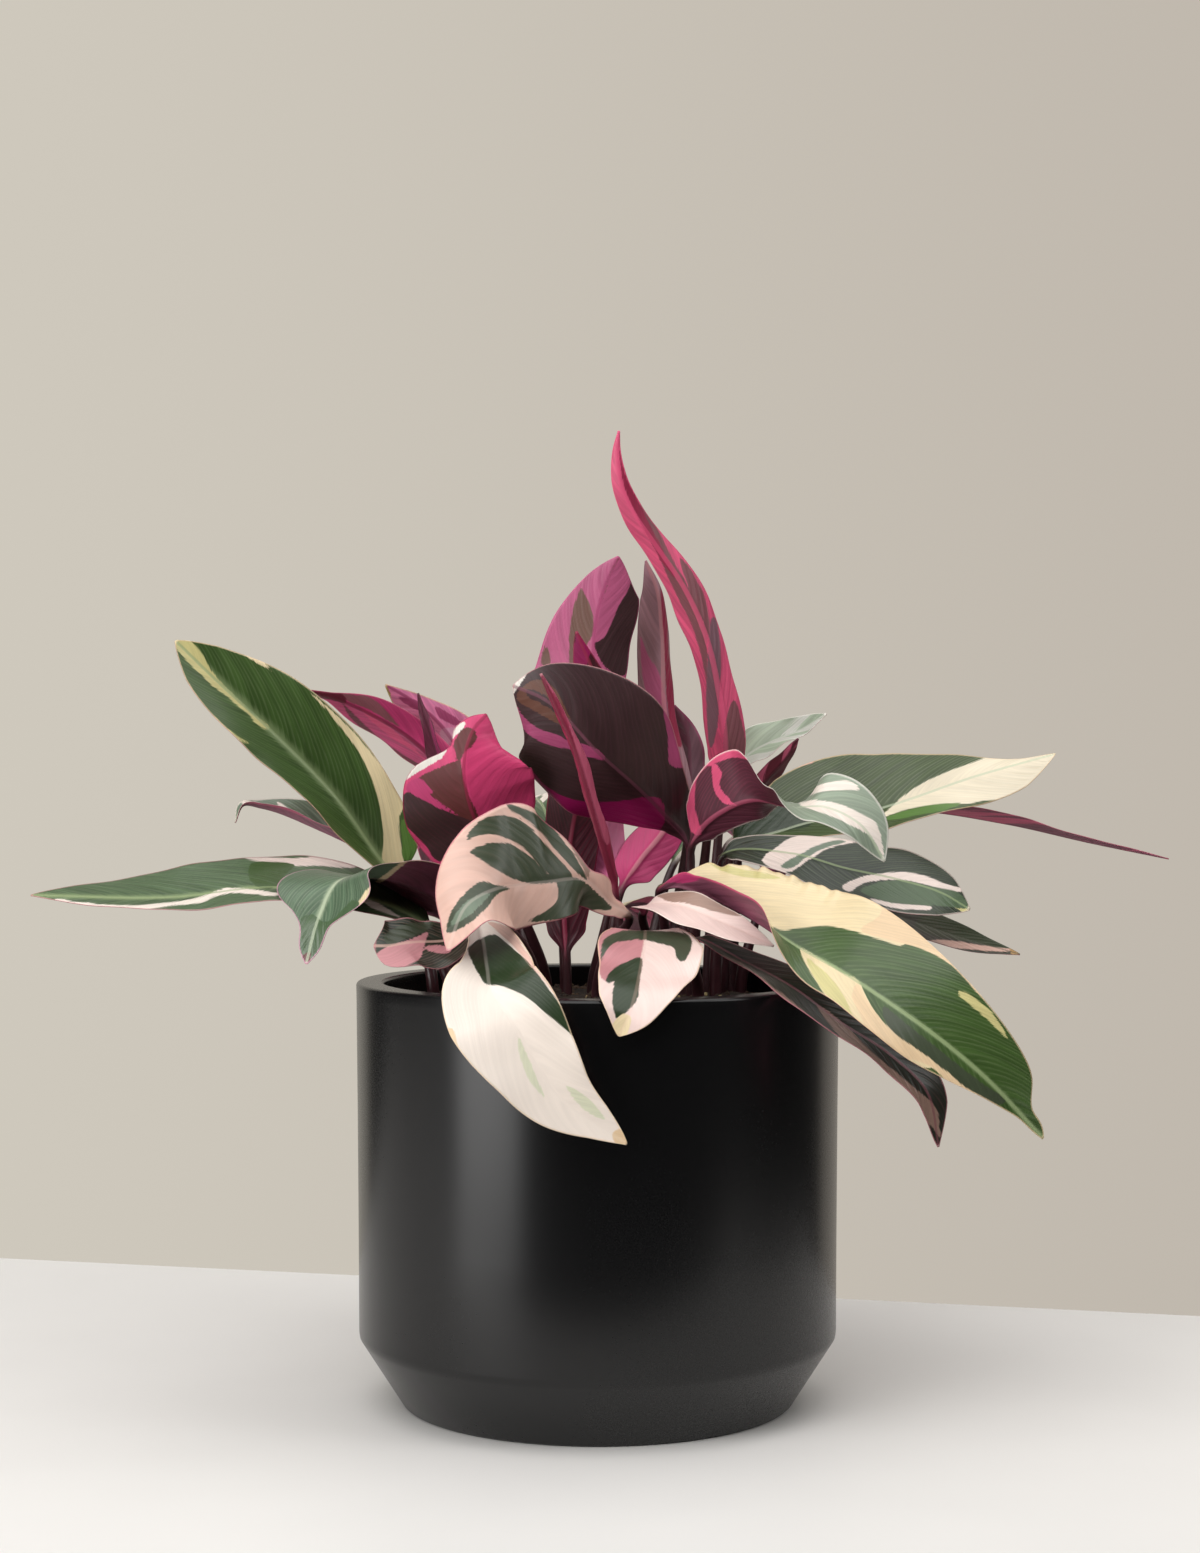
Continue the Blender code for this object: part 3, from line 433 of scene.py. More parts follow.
LOOKS = {
    "leaf_left_upright": Look(
        top=Coat(
            "leaf_green", "cream", "straw", "fresh_green", rib="sage", hem="peach", feather=2.6,
            ridge=0.7),
        under=Coat("plum", "rose", rib="mauve", hem="rose"),
        patches=(
            Patch("first", "top", [
                (306, 688), (322, 702), (342, 720), (362, 742), (380, 764), (398, 786), (408, 800),
                (399, 818), (402, 850), (403, 866), (383, 866), (383, 840), (381, 815), (374, 785),
                (362, 758), (345, 733), (324, 708)]),
            Patch("first", "top", [
                (232, 642), (243, 644), (262, 659), (273, 672), (266, 668), (250, 659), (240, 650)]),
            Patch("second", "top", [
                (172, 639), (190, 641), (201, 652), (210, 668), (222, 683), (240, 701), (252, 713),
                (270, 727), (262, 728), (245, 712), (228, 697), (212, 686), (198, 672), (182, 656)]),
            Patch("second", "top", [
                (213, 715), (224, 725), (236, 735), (250, 744), (240, 741), (226, 733)]),
            Patch("third", "top", [
                (401, 822), (406, 820), (414, 834), (424, 852), (404, 860), (402, 838)]),
        )),
    "leaf_left_narrow": Look(
        top=Coat("grey_green", "milk", "milk", rib="pale_sage", hem="milk"),
        under=Coat("mauve", "dark_plum", rib="plum", hem="rose", edge=1.6),
        patches=(
            Patch("first", "top", [
                (240, 800), (258, 802), (270, 810), (282, 818), (266, 816), (246, 806)]),
            Patch("first", "top", [
                (277, 802), (284, 805), (293, 814), (301, 820), (289, 819), (281, 811)]),
            Patch("first", "under", [(233, 824), (238, 808), (246, 805), (255, 808), (246, 816)]),
        )),
    "leaf_left_long": Look(
        top=Coat(
            "muted_green", "white_pink", "milk", "leaf_green", rib="sage", hem="dusty_pink", feather=2.0),
        under=Coat("plum", "rose", rib="mauve", hem="rose"),
        patches=(
            Patch("first", "top", [
                (232, 852), (252, 854), (268, 857), (300, 858), (330, 853), (352, 854), (370, 860),
                (352, 868), (320, 866), (296, 866), (262, 862), (244, 858)]),
            Patch("second", "top", [
                (56, 899), (100, 904), (130, 905), (160, 903), (185, 900), (205, 895), (222, 889),
                (240, 888), (258, 890), (278, 893), (275, 896), (250, 894), (232, 893), (215, 897),
                (200, 903), (170, 906), (140, 910), (110, 909), (70, 904)]),
            Patch("third", "top", [
                (256, 862), (294, 864), (284, 876), (274, 888), (255, 886), (248, 872)]),
            Patch("second", "top", [(360, 896), (380, 904), (402, 918), (388, 914), (371, 908)]),
        )),
    "leaf_left_drooping": Look(
        top=Coat(
            "blue_green", "cream", "muted_green", "brown_red", rib="pale_sage", hem="pale_pink",
            feather=1.6),
        under=Coat("mauve", "cream", "blue_green", "grey_mauve", rib="plum", hem="cream"),
        nicks=((0, 0.84, 0.45, 0.07), (1, 0.86, 0.4, 0.07)),
        patches=(
            Patch("first", "top", [
                (405, 856), (396, 858), (388, 867), (382, 877), (371, 885), (364, 893), (356, 905),
                (350, 914), (364, 908), (374, 894), (388, 885), (398, 873)]),
            Patch("second", "top", [
                (300, 920), (312, 914), (324, 922), (336, 916), (352, 900), (360, 906), (344, 924),
                (326, 930), (322, 946), (308, 958), (303, 945)]),
            Patch("third", "top", [(302, 956), (311, 952), (308, 968), (302, 968)]),
            Patch("third", "under", [
                (364, 893), (382, 882), (402, 897), (420, 918), (400, 914), (385, 905)]),
            Patch("second", "under", [
                (356, 866), (370, 846), (410, 838), (460, 826), (468, 838), (449, 846), (430, 850),
                (410, 856), (391, 870), (372, 884), (358, 892)]),
            Patch("first", "under", [
                (452, 843), (430, 848), (410, 853), (391, 867), (370, 884), (374, 888), (394, 873),
                (412, 859), (432, 853), (453, 848)]),
        )),
    "leaf_magenta_left": Look(
        top=Coat("leaf_green", "cream", rib="sage", hem="rose"),
        under=Coat("magenta", "mauve_brown", "maroon", "hot_pink", rib="maroon", hem="rose"),
        patches=(
            Patch("first", "under", [
                (334, 690), (350, 694), (370, 697), (384, 708), (400, 727), (390, 722), (370, 710),
                (350, 702)]),
            Patch("second", "under", [
                (342, 702), (360, 720), (380, 738), (400, 752), (425, 768), (440, 778), (420, 772),
                (396, 756), (370, 737), (350, 717)]),
            Patch("second", "under", [
                (300, 688), (330, 688), (342, 694), (346, 703), (330, 700), (312, 696)]),
            Patch("third", "under", [
                (360, 708), (374, 714), (396, 732), (412, 746), (430, 764), (414, 752), (392, 738),
                (372, 722)]),
        )),
    "leaf_pink_tip": Look(
        top=Coat("grey_green", "milk", rib="pale_sage", hem="milk"),
        under=Coat("bright_pink", "pale_pink", "orchid", "tan", rib="orchid", hem="straw", feather=0.5),
        patches=(
            Patch("first", "under", [(386, 700), (405, 709), (424, 728), (412, 724), (396, 713)]),
            Patch("first", "under", [(440, 730), (458, 728), (450, 742), (444, 746)]),
            Patch("second", "under", [(436, 706), (455, 717), (468, 728), (450, 724), (438, 716)]),
            Patch("second", "under", [(398, 697), (416, 700), (428, 712), (412, 708)]),
            Patch("third", "under", [(380, 680), (388, 688), (391, 698), (384, 703), (380, 694)]),
        )),
    "leaf_left_spear": Look(
        top=Coat("mauve", "orchid", rib="plum", hem="plum"),
        under=Coat("mauve", "orchid", rib="plum", hem="plum"),
        patches=(
            Patch("first", "top", [
                (423, 694), (428, 702), (437, 718), (442, 738), (441, 760), (434, 744), (428, 716)]),
        )),
    "leaf_broad_pink": Look(
        top=Coat("leaf_green", "cream", rib="sage", hem="milk"),
        under=Coat(
            "hot_pink", "dark_plum", "brown_red", "magenta", "white", rib="crimson", hem="crimson",
            veins=0.5),
        sweep=1.3, nicks=((1, 0.78, 0.6, 0.08),),
        patches=(
            Patch("first", "under", [
                (392, 803), (402, 795), (411, 791), (425, 800), (440, 806), (455, 814), (470, 819),
                (480, 822), (482, 850), (440, 862), (426, 846), (408, 828), (399, 815)]),
            Patch("second", "under", [
                (412, 790), (418, 778), (436, 769), (448, 764), (460, 762), (464, 780), (470, 798),
                (480, 822), (462, 817), (440, 808), (424, 799)]),
            Patch("second", "under", [
                (453, 744), (458, 735), (460, 729), (472, 728), (477, 736), (474, 744), (465, 752),
                (459, 762), (455, 752)]),
            Patch("third", "under", [
                (406, 790), (409, 782), (420, 778), (428, 786), (434, 791), (430, 794), (442, 803),
                (459, 815), (438, 808), (420, 798)]),
            Patch("fourth", "under", [
                (392, 784), (404, 772), (424, 758), (437, 753), (446, 736), (462, 722), (465, 726),
                (451, 741), (443, 757), (430, 765), (406, 780), (397, 789)]),
        )),
    "leaf_dark_oval": Look(
        top=Coat("leaf_green", "cream", rib="sage", hem="cream"),
        under=Coat(
            "dark_brown", "orchid", "vivid_magenta", "lit_brown", "white", rib="mauve", hem="dusty_pink",
            veins=0.5, edge=0.6),
        sweep=1.5,
        patches=(
            Patch("first", "under", [
                (509, 690), (515, 704), (526, 719), (540, 729), (556, 734), (568, 741), (584, 744),
                (600, 751), (606, 760), (588, 757), (570, 750), (552, 746), (536, 740), (522, 728),
                (512, 712)]),
            Patch("first", "under", [
                (648, 688), (660, 699), (664, 715), (668, 740), (670, 765), (690, 765), (690, 740),
                (678, 720), (668, 704), (655, 688)]),
            Patch("second", "under", [
                (526, 766), (540, 780), (552, 790), (566, 797), (590, 802), (620, 801), (660, 798),
                (660, 830), (610, 832), (580, 826), (550, 806), (530, 786)]),
            Patch("third", "under", [
                (517, 693), (528, 683), (540, 679), (556, 690), (566, 708), (572, 729), (558, 724),
                (545, 717), (530, 708), (519, 702)]),
            Patch("ground", "under", [
                (528, 689), (544, 695), (560, 712), (567, 726), (556, 713), (540, 703), (528, 697)]),
            Patch("fourth", "under", [
                (508, 700), (510, 684), (518, 675), (528, 671), (521, 683), (515, 692)]),
        )),
    "leaf_rolled": Look(
        top=Coat("maroon", "rose", rib="maroon", hem="rose"),
        under=Coat("crimson", "rose", "tan", rib="maroon", hem="dusty_pink"),
        patches=(
            # painted highlight: the under face's first paint, rose, laid as a light line along the right
            # edge
            Patch("first", "under", [
                (536, 670), (552, 678), (564, 692), (574, 718), (588, 755), (600, 800), (610, 840),
                (603, 840), (590, 795), (577, 752), (566, 718), (556, 697)]),
            Patch("second", "under", [(555, 680), (561, 685), (565, 695), (559, 692)]),
        )),
    "leaf_upper_pink": Look(
        top=Coat("leaf_green", "cream", rib="sage", hem="cream"),
        under=Coat(
            "rosy_mauve", "olive_brown", "dark_brown", "rosy_mauve", rib="orchid", hem="rosy_mauve",
            veins=0.5),
        patches=(
            Patch("first", "under", [
                (570, 670), (569, 640), (571, 618), (576, 600), (581, 588), (587, 598), (592, 612),
                (594, 628), (590, 640), (585, 646), (581, 638), (579, 652), (575, 668)]),
            Patch("first", "under", [(541, 664), (543, 650), (546, 645), (550, 655), (550, 666)]),
            Patch("first", "under", [
                (621, 555), (613, 566), (608, 579), (604, 592), (600, 606), (606, 590), (611, 574)]),
            Patch("second", "under", [
                (632, 577), (634, 584), (641, 586), (646, 600), (646, 620), (642, 642), (634, 660),
                (624, 676), (606, 668), (598, 655), (594, 643), (604, 638), (612, 621), (620, 603),
                (627, 592)]),
        )),
    "leaf_centre_young": Look(
        top=Coat("dark_maroon", "vivid_magenta", rib="maroon", hem="maroon"),
        under=Coat("dark_maroon", "vivid_magenta", rib="crimson", hem="crimson"),
        patches=(
            Patch("first", "under", [
                (564, 672), (570, 655), (575, 640), (578, 628), (584, 640), (596, 646), (590, 655),
                (583, 672)]),
        )),
    "leaf_upper_narrow": Look(
        top=Coat("muted_green", "milk", rib="sage", hem="rose"),
        under=Coat("light_mauve", "crimson", "rosy_mauve", "magenta", rib="dusty_pink", hem="mauve"),
        patches=(
            Patch("first", "under", [
                (661, 575), (668, 588), (668, 640), (673, 680), (677, 710), (682, 745), (672, 738),
                (667, 700), (664, 650), (661, 610)]),
            Patch("second", "under", [
                (640, 636), (648, 655), (658, 670), (664, 690), (668, 718), (655, 705), (644, 685)]),
            Patch("third", "under", [
                (580, 960), (580, 800), (640, 792), (680, 790), (690, 830), (672, 870), (650, 910),
                (620, 960)]),
        )),
    "leaf_tall_twisted": Look(
        top=Coat("grey_mauve", "coral_pink", rib="rose", hem="rose"),
        under=Coat(
            "coral_pink", "mauve_brown", "grey_mauve", "crimson", rib="coral_pink", hem="coral_pink",
            feather=0.4),
        patches=(
            Patch("first", "under", [
                (640, 505), (651, 518), (661, 535), (673, 560), (689, 588), (701, 618), (707, 648),
                (707, 684), (700, 650), (689, 620), (679, 600), (667, 575), (654, 545)]),
            Patch("first", "under", [
                (680, 558), (693, 574), (706, 600), (711, 640), (703, 622), (690, 592)]),
            Patch("second", "under", [
                (708, 650), (711, 620), (716, 620), (721, 650), (720, 690), (717, 730), (710, 748),
                (707, 720), (706, 690)]),
            Patch("first", "under", [(726, 720), (734, 700), (742, 722), (746, 756), (724, 754)]),
            # painted shade: the under face's third paint, crimson, darkens a strip from the tip down the far
            # half
            Patch("third", "under", [
                (619, 448), (626, 476), (640, 505), (662, 548), (676, 578), (662, 562), (640, 522),
                (624, 486)]),
        )),
    "leaf_back_grey": Look(
        top=Coat("dull_sage", "ash", rib="ash", hem="white"),
        under=Coat("grey_mauve", "rose", rib="mauve", hem="rose")),
    "leaf_right_spears": Look(
        top=Coat("maroon", "rose", rib="dark_maroon", hem="plum"),
        under=Coat("maroon", "rose", rib="dark_maroon", hem="plum")),
    "leaf_curled_magenta": Look(
        top=Coat(
            "silver_green", "milk", "pale_sage", rib="pale_sage", hem="white", edge=1.3, feather=0.8),
        under=Coat("plum", "coral_pink", "rosy_mauve", rib="rose", hem="milk", edge=0.8),
        patches=(
            Patch("first", "under", [
                (712, 762), (722, 772), (720, 786), (730, 800), (738, 806), (722, 802), (714, 790),
                (712, 776)]),
            Patch("first", "under", [
                (698, 756), (716, 747), (740, 750), (766, 756), (764, 764), (740, 758), (724, 760),
                (706, 766)]),
            Patch("first", "under", [
                (690, 766), (700, 756), (708, 764), (697, 780), (695, 806), (702, 834), (690, 830),
                (684, 800)]),
            Patch("first", "top", [
                (798, 803), (820, 800), (845, 806), (866, 816), (878, 826), (884, 858), (872, 838),
                (852, 826), (830, 816), (812, 810)]),
            Patch("first", "top", [
                (792, 798), (812, 788), (826, 783), (848, 780), (860, 790), (846, 790), (820, 792),
                (804, 799)]),
        )),
    "leaf_right_cream_tip": Look(
        top=Coat(
            "olive_green", "ivory", "fresh_green", "deep_green", "dusty_pink", rib="pale_sage",
            hem="peach"),
        under=Coat("mauve", "rose", rib="mauve", hem="rose"),
        patches=(
            Patch("first", "top", [
                (880, 818), (892, 806), (906, 794), (924, 782), (946, 772), (968, 764), (986, 757),
                (1010, 746), (1070, 736), (1090, 800), (1040, 815), (1010, 803), (990, 800), (966, 804),
                (940, 804), (914, 808), (896, 813)]),
            Patch("second", "top", [
                (884, 819), (900, 812), (920, 807), (942, 804), (962, 803), (946, 810), (920, 815),
                (900, 819)]),
            Patch("third", "top", [
                (726, 836), (732, 812), (742, 804), (770, 801), (796, 806), (812, 824), (790, 830),
                (760, 834)]),
            Patch("fourth", "top", [
                (768, 774), (778, 766), (802, 760), (816, 762), (790, 770), (774, 779)]),
        )),
    "leaf_right_edge_on": Look(
        top=Coat("muted_green", "milk", rib="mauve", hem="rose"),
        under=Coat("mauve", "rose", rib="maroon", hem="rose")),
    "leaf_right_striped": Look(
        top=Coat(
            "ink_green", "white_pink", "straw", "grey_green", "muted_green", rib="sage", hem="white_pink",
            edge=1.0),
        under=Coat("mauve", "rose", rib="mauve", hem="rose"),
        patches=(
            Patch("first", "top", [
                (762, 860), (775, 848), (790, 838), (812, 832), (832, 830), (842, 838), (856, 842),
                (830, 848), (806, 862), (790, 872), (776, 870)]),
            Patch("third", "top", [
                (780, 866), (800, 854), (815, 846), (836, 840), (846, 842), (826, 848), (806, 858),
                (792, 868)]),
            Patch("first", "top", [
                (842, 886), (858, 878), (876, 874), (900, 872), (926, 876), (946, 884), (966, 890),
                (950, 892), (930, 886), (910, 882), (884, 880), (862, 884), (850, 892)]),
            Patch("fourth", "top", [
                (860, 890), (880, 882), (905, 880), (930, 886), (958, 892), (968, 908), (940, 906),
                (900, 904), (874, 898)]),
            Patch("second", "top", [
                (926, 891), (940, 891), (956, 900), (971, 908), (968, 914), (952, 906)]),
            Patch("first", "top", [
                (870, 898), (890, 902), (912, 904), (930, 906), (928, 910), (900, 909), (878, 904)]),
        )),
    "leaf_right_dark": Look(
        top=Coat("black_green", "blush", "deep_green", "tan", rib="slate_green", hem="slate_green"),
        under=Coat("plum", "rose", rib="mauve", hem="rose"),
        patches=(
            Patch("first", "top", [
                (924, 941), (950, 940), (975, 944), (1000, 947), (1014, 950), (1002, 952), (975, 950),
                (950, 948), (932, 950)]),
            Patch("second", "top", [
                (930, 912), (960, 922), (990, 938), (1012, 948), (990, 946), (960, 940), (935, 936),
                (915, 926)]),
            Patch("third", "top", [(1010, 946), (1022, 952), (1020, 960), (1012, 956)]),
        )),
    "leaf_big_right": Look(
        top=Coat(
            "leaf_green", "cream", "straw", "slate_green", "peach", rib="sage", hem="peach", feather=1.0),
        under=Coat("mauve", "hot_pink", "magenta", rib="plum", hem="coral_pink", edge=1.5),
        nicks=((0, 0.945, 0.45, 0.035), (1, 0.945, 0.4, 0.035)), crinkle=((0, 0.02, 0.42, 0.9),),
        patches=(
            Patch("first", "top", [
                (670, 862), (684, 846), (706, 838), (730, 846), (770, 852), (800, 864), (840, 872),
                (880, 890), (905, 915), (905, 945), (880, 940), (850, 930), (825, 926), (800, 928),
                (780, 930), (760, 920), (740, 900), (700, 880)]),
            Patch("fourth", "top", [
                (880, 888), (905, 915), (935, 942), (960, 966), (985, 1000), (975, 990), (950, 964),
                (920, 948), (890, 940), (860, 930), (880, 915), (880, 900)]),
            Patch("first", "top", [
                (800, 948), (812, 954), (830, 965), (845, 974), (858, 980), (868, 1000), (880, 1018),
                (900, 1036), (925, 1054), (950, 1064), (925, 1068), (896, 1058), (868, 1040), (842, 1018),
                (825, 995), (806, 965)]),
            Patch("fourth", "top", [
                (858, 984), (868, 1002), (884, 1022), (904, 1040), (930, 1058), (960, 1082), (985, 1102),
                (960, 1094), (930, 1066), (896, 1056), (872, 1040), (860, 1015), (852, 995)]),
            Patch("second", "top", [
                (806, 958), (820, 968), (836, 984), (848, 1004), (856, 1024), (846, 1020), (832, 1002),
                (818, 984)]),
            Patch("second", "top", [
                (700, 852), (716, 858), (736, 868), (760, 872), (782, 878), (760, 879), (734, 875),
                (712, 866)]),
            Patch("second", "top", [
                (957, 993), (966, 992), (985, 1006), (998, 1020), (1008, 1040), (992, 1024),
                (976, 1010)]),
            Patch("third", "top", [
                (884, 1006), (910, 1026), (940, 1050), (975, 1078), (1006, 1100), (990, 1104),
                (960, 1088), (935, 1064), (905, 1044), (886, 1024)]),
            # painted glow: the under face's second paint, magenta, brightens the base where light shines
            # through the leaf
            Patch("second", "under", [
                (636, 858), (660, 852), (690, 862), (704, 874), (690, 882), (650, 880)]),
        )),
    "leaf_pale_small": Look(
        top=Coat("shell_pink", "taupe", "tan", rib="blush", hem="milk", veins=0.2, ridge=0.2),
        under=Coat("dusty_pink", "rose", rib="rose", hem="milk"),
        patches=(
            # painted shade: the upper face's first paint, taupe, laid as grey-brown shading along the top
            # near the base
            Patch("first", "top", [
                (648, 886), (668, 882), (700, 892), (730, 905), (742, 916), (716, 912), (690, 904),
                (664, 900)]),
        )),
    "leaf_right_trailing": Look(
        top=Coat("black_green", "taupe", "taupe", rib="mauve_brown", hem="dusty_pink"),
        under=Coat("plum", "rose", rib="mauve", hem="rose"),
        patches=(
            Patch("first", "top", [
                (716, 954), (740, 962), (770, 984), (800, 1008), (830, 1034), (862, 1062), (900, 1092),
                (936, 1122), (940, 1138), (925, 1120), (890, 1094), (858, 1068), (826, 1040), (796, 1012),
                (764, 990), (738, 970)]),
            Patch("second", "top", [
                (816, 1005), (840, 1020), (870, 1050), (905, 1080), (935, 1106), (938, 1130), (922, 1110),
                (890, 1084), (860, 1058), (836, 1032)]),
        )),
    "leaf_front_small": Look(
        top=Coat(
            "shell_pink", "dusty_pink", "slate_green", "deep_green", "cream", rib="blush", hem="peach",
            veins=0.2, ridge=0.15),
        under=Coat("dusty_pink", "rose", rib="rose", hem="milk"),
        patches=(
            Patch("first", "top", [
                (600, 905), (640, 915), (645, 930), (640, 960), (630, 972), (612, 982), (600, 975),
                (598, 940)]),
            Patch("second", "top", [
                (601, 962), (602, 944), (610, 935), (625, 930), (645, 930), (666, 931), (684, 933),
                (692, 942), (688, 956), (682, 962), (676, 958), (674, 948), (660, 944), (645, 940),
                (625, 941), (610, 946)]),
            Patch("third", "top", [
                (606, 978), (614, 968), (626, 962), (642, 958), (640, 980), (637, 1000), (626, 1012),
                (617, 1020), (613, 1008), (612, 994), (614, 982), (608, 984)]),
            Patch("fourth", "top", [(612, 1024), (624, 1014), (632, 1020), (624, 1040), (614, 1040)]),
        )),
    "leaf_front_cream": Look(
        top=Coat(
            "milk", "deep_green", "blush", "pale_straw", "peach", rib="milk", hem="peach", veins=0.2,
            ridge=0.15),
        under=Coat("blush", "rose", rib="blush", hem="milk"),
        patches=(
            Patch("first", "top", [
                (469, 955), (470, 946), (484, 937), (496, 935), (508, 944), (520, 954), (530, 962),
                (540, 976), (550, 990), (560, 1004), (570, 1024), (580, 1046), (572, 1036), (556, 1022),
                (544, 1012), (530, 1000), (516, 992), (500, 986), (486, 984), (477, 972)]),
            Patch("second", "top", [
                (488, 922), (510, 928), (522, 944), (536, 966), (552, 986), (564, 1004), (580, 1040),
                (566, 1012), (550, 990), (536, 972), (520, 954), (502, 936)]),
            Patch("third", "top", [
                (518, 1036), (526, 1052), (536, 1076), (546, 1098), (540, 1094), (528, 1078),
                (520, 1056)]),
            Patch("third", "top", [
                (566, 1086), (580, 1092), (594, 1104), (606, 1120), (594, 1116), (578, 1104)]),
            Patch("fourth", "top", [
                (446, 1030), (454, 1030), (458, 1046), (466, 1060), (456, 1058), (446, 1044)]),
            Patch("fourth", "top", [(612, 1134), (622, 1130), (632, 1150), (618, 1146)]),
        )),
    "leaf_front_striped": Look(
        top=Coat(
            "blush", "slate_green", "grey_green", "taupe", rib="white_pink", hem="rose", veins=0.4,
            ridge=0.2),
        under=Coat("dark_plum", "rose", rib="plum", hem="rose"),
        sweep=0.9, nicks=((1, 0.27, 0.6, 0.055),),
        patches=(
            Patch("first", "top", [
                (506, 803), (516, 806), (536, 814), (552, 826), (566, 844), (578, 862), (588, 880),
                (580, 876), (566, 862), (552, 846), (540, 832), (524, 818), (510, 810)]),
            Patch("first", "top", [
                (466, 840), (476, 824), (490, 816), (508, 816), (524, 822), (540, 838), (556, 856),
                (572, 876), (560, 882), (544, 870), (530, 854), (514, 842), (498, 835), (482, 834)]),
            Patch("first", "top", [
                (470, 852), (480, 846), (496, 842), (516, 847), (534, 860), (546, 872), (562, 880),
                (540, 884), (522, 882), (500, 872), (484, 862)]),
            Patch("third", "top", [
                (540, 806), (556, 808), (572, 822), (582, 840), (590, 866), (588, 880), (580, 862),
                (568, 842), (556, 824)]),
            Patch("first", "top", [
                (446, 932), (450, 914), (462, 896), (478, 882), (492, 884), (510, 888), (498, 894),
                (488, 906), (474, 920), (458, 930)]),
            Patch("second", "top", [
                (450, 926), (458, 910), (472, 898), (490, 892), (480, 906), (466, 918)]),
            Patch("first", "top", [
                (556, 880), (566, 877), (580, 879), (594, 890), (612, 908), (596, 910), (574, 916),
                (556, 920), (526, 922), (544, 912), (556, 902), (558, 890)]),
        )),
    "leaf_left_small": Look(
        top=Coat("ink_green", "dusty_pink", "sage", "slate_green", rib="blush", hem="dusty_pink"),
        under=Coat("plum", "rose", rib="mauve", hem="rose"),
        patches=(
            Patch("first", "top", [
                (372, 958), (384, 948), (400, 942), (414, 938), (428, 932), (424, 946), (420, 958),
                (410, 964), (398, 970), (384, 970), (374, 964)]),
            Patch("third", "top", [
                (384, 936), (398, 926), (418, 922), (436, 918), (428, 930), (408, 938), (390, 945)]),
            Patch("first", "top", [(424, 947), (440, 945), (452, 950), (446, 954), (430, 951)]),
        )),
    "leaf_back_mauve": Look(
        top=Coat("muted_green", "milk", rib="sage", hem="rose"),
        under=Coat("grey_mauve", "mauve", rib="mauve", hem="orchid", edge=1.4)),
    "leaf_rear_left": Look(
        top=Coat("leaf_green", "cream", rib="sage", hem="peach"),
        under=Coat("plum", "orchid", rib="mauve", hem="rose")),
    "leaf_rear_middle": Look(
        top=Coat("muted_green", "milk", rib="sage", hem="blush"),
        under=Coat("maroon", "rose", rib="mauve", hem="rose")),
    "leaf_rear_right": Look(
        top=Coat("leaf_green", "milk", rib="sage", hem="peach"),
        under=Coat("orchid", "plum", rib="mauve", hem="rose")),
    "leaf_rear_low": Look(
        top=Coat("leaf_green", "cream", rib="sage", hem="peach"),
        under=Coat("plum", "rose", rib="mauve", hem="rose")),
}


class Route:
    """A smooth line through points, measured along its chords."""

    def __init__(self, points):
        self.points = np.array(points, dtype=float)
        chords = np.diff(self.points, axis=0)
        spans = np.linalg.norm(chords, axis=1)
        self.marks = np.concatenate([[0.0], np.cumsum(spans)])
        steps = chords / spans[:, None]
        share = (spans[1:] / (spans[1:] + spans[:-1]))[:, None]
        inner = steps[:-1] * share + steps[1:] * (1 - share)
        self.slopes = np.vstack([steps[:1], inner, steps[-1:]])

    def at(self, mark):
        """The point at a distance along the chords."""
        i = int(np.clip(np.searchsorted(self.marks, mark) - 1, 0, len(self.points) - 2))
        span = self.marks[i + 1] - self.marks[i]
        t = (mark - self.marks[i]) / span
        point = self.points[i] * (1 + 2 * t) * (1 - t) ** 2 + self.slopes[i] * span * t * (1 - t) ** 2
        return point + self.points[i + 1] * t * t * (3 - 2 * t) + self.slopes[i + 1] * span * t * t * (t - 1)

    def heading(self, mark):
        """The unit direction of travel at that distance."""
        return unit(self.at(min(mark + 0.5, self.marks[-1])) - self.at(max(mark - 0.5, 0.0)))


def unit(vector):
    """The same direction with length 1."""
    return vector / np.linalg.norm(vector)


def ease(t):
    """A soft step from 0 to 1."""
    t = min(max(t, 0.0), 1.0)
    return t * t * (3 - 2 * t)


def between(stations, v):
    """A value read softly from evenly spaced stations over 0 to 1."""
    place = min(max(v, 0.0), 1.0) * (len(stations) - 1)
    i = min(int(place), len(stations) - 2)
    t = ease(place - i)
    return stations[i] * (1 - t) + stations[i + 1] * t


def half_width(leaf, v, side):
    """The blade's width from midrib to margin on one side (0 left, 1 right) at v along it."""
    widths = (0.0,) + (leaf.right if side else leaf.left) + (0.0,)
    v = min(max(v, 0.0), 1.0)
    i = 0
    while i < len(STATIONS) - 2 and v > STATIONS[i + 1]:
        i += 1
    t = (v - STATIONS[i]) / (STATIONS[i + 1] - STATIONS[i])
    if i == 0:
        shape = widths[1] * math.sin(math.pi / 2 * t) ** 0.7
    elif i == len(STATIONS) - 2:
        shape = widths[i] * (1 - t) ** 0.8
    else:
        slopes = []
        for k in (i, i + 1):
            slopes.append((widths[k + 1] - widths[k - 1]) / (STATIONS[k + 1] - STATIONS[k - 1]))
        span = STATIONS[i + 1] - STATIONS[i]
        shape = widths[i] * (1 + 2 * t) * (1 - t) ** 2 + slopes[0] * span * t * (1 - t) ** 2
        shape += widths[i + 1] * t * t * (3 - 2 * t) + slopes[1] * span * t * t * (t - 1)
    least = STALK_RADIUS_HIGH + (TIP_HALF_WIDTH - STALK_RADIUS_HIGH) * v
    return math.hypot(shape, least)


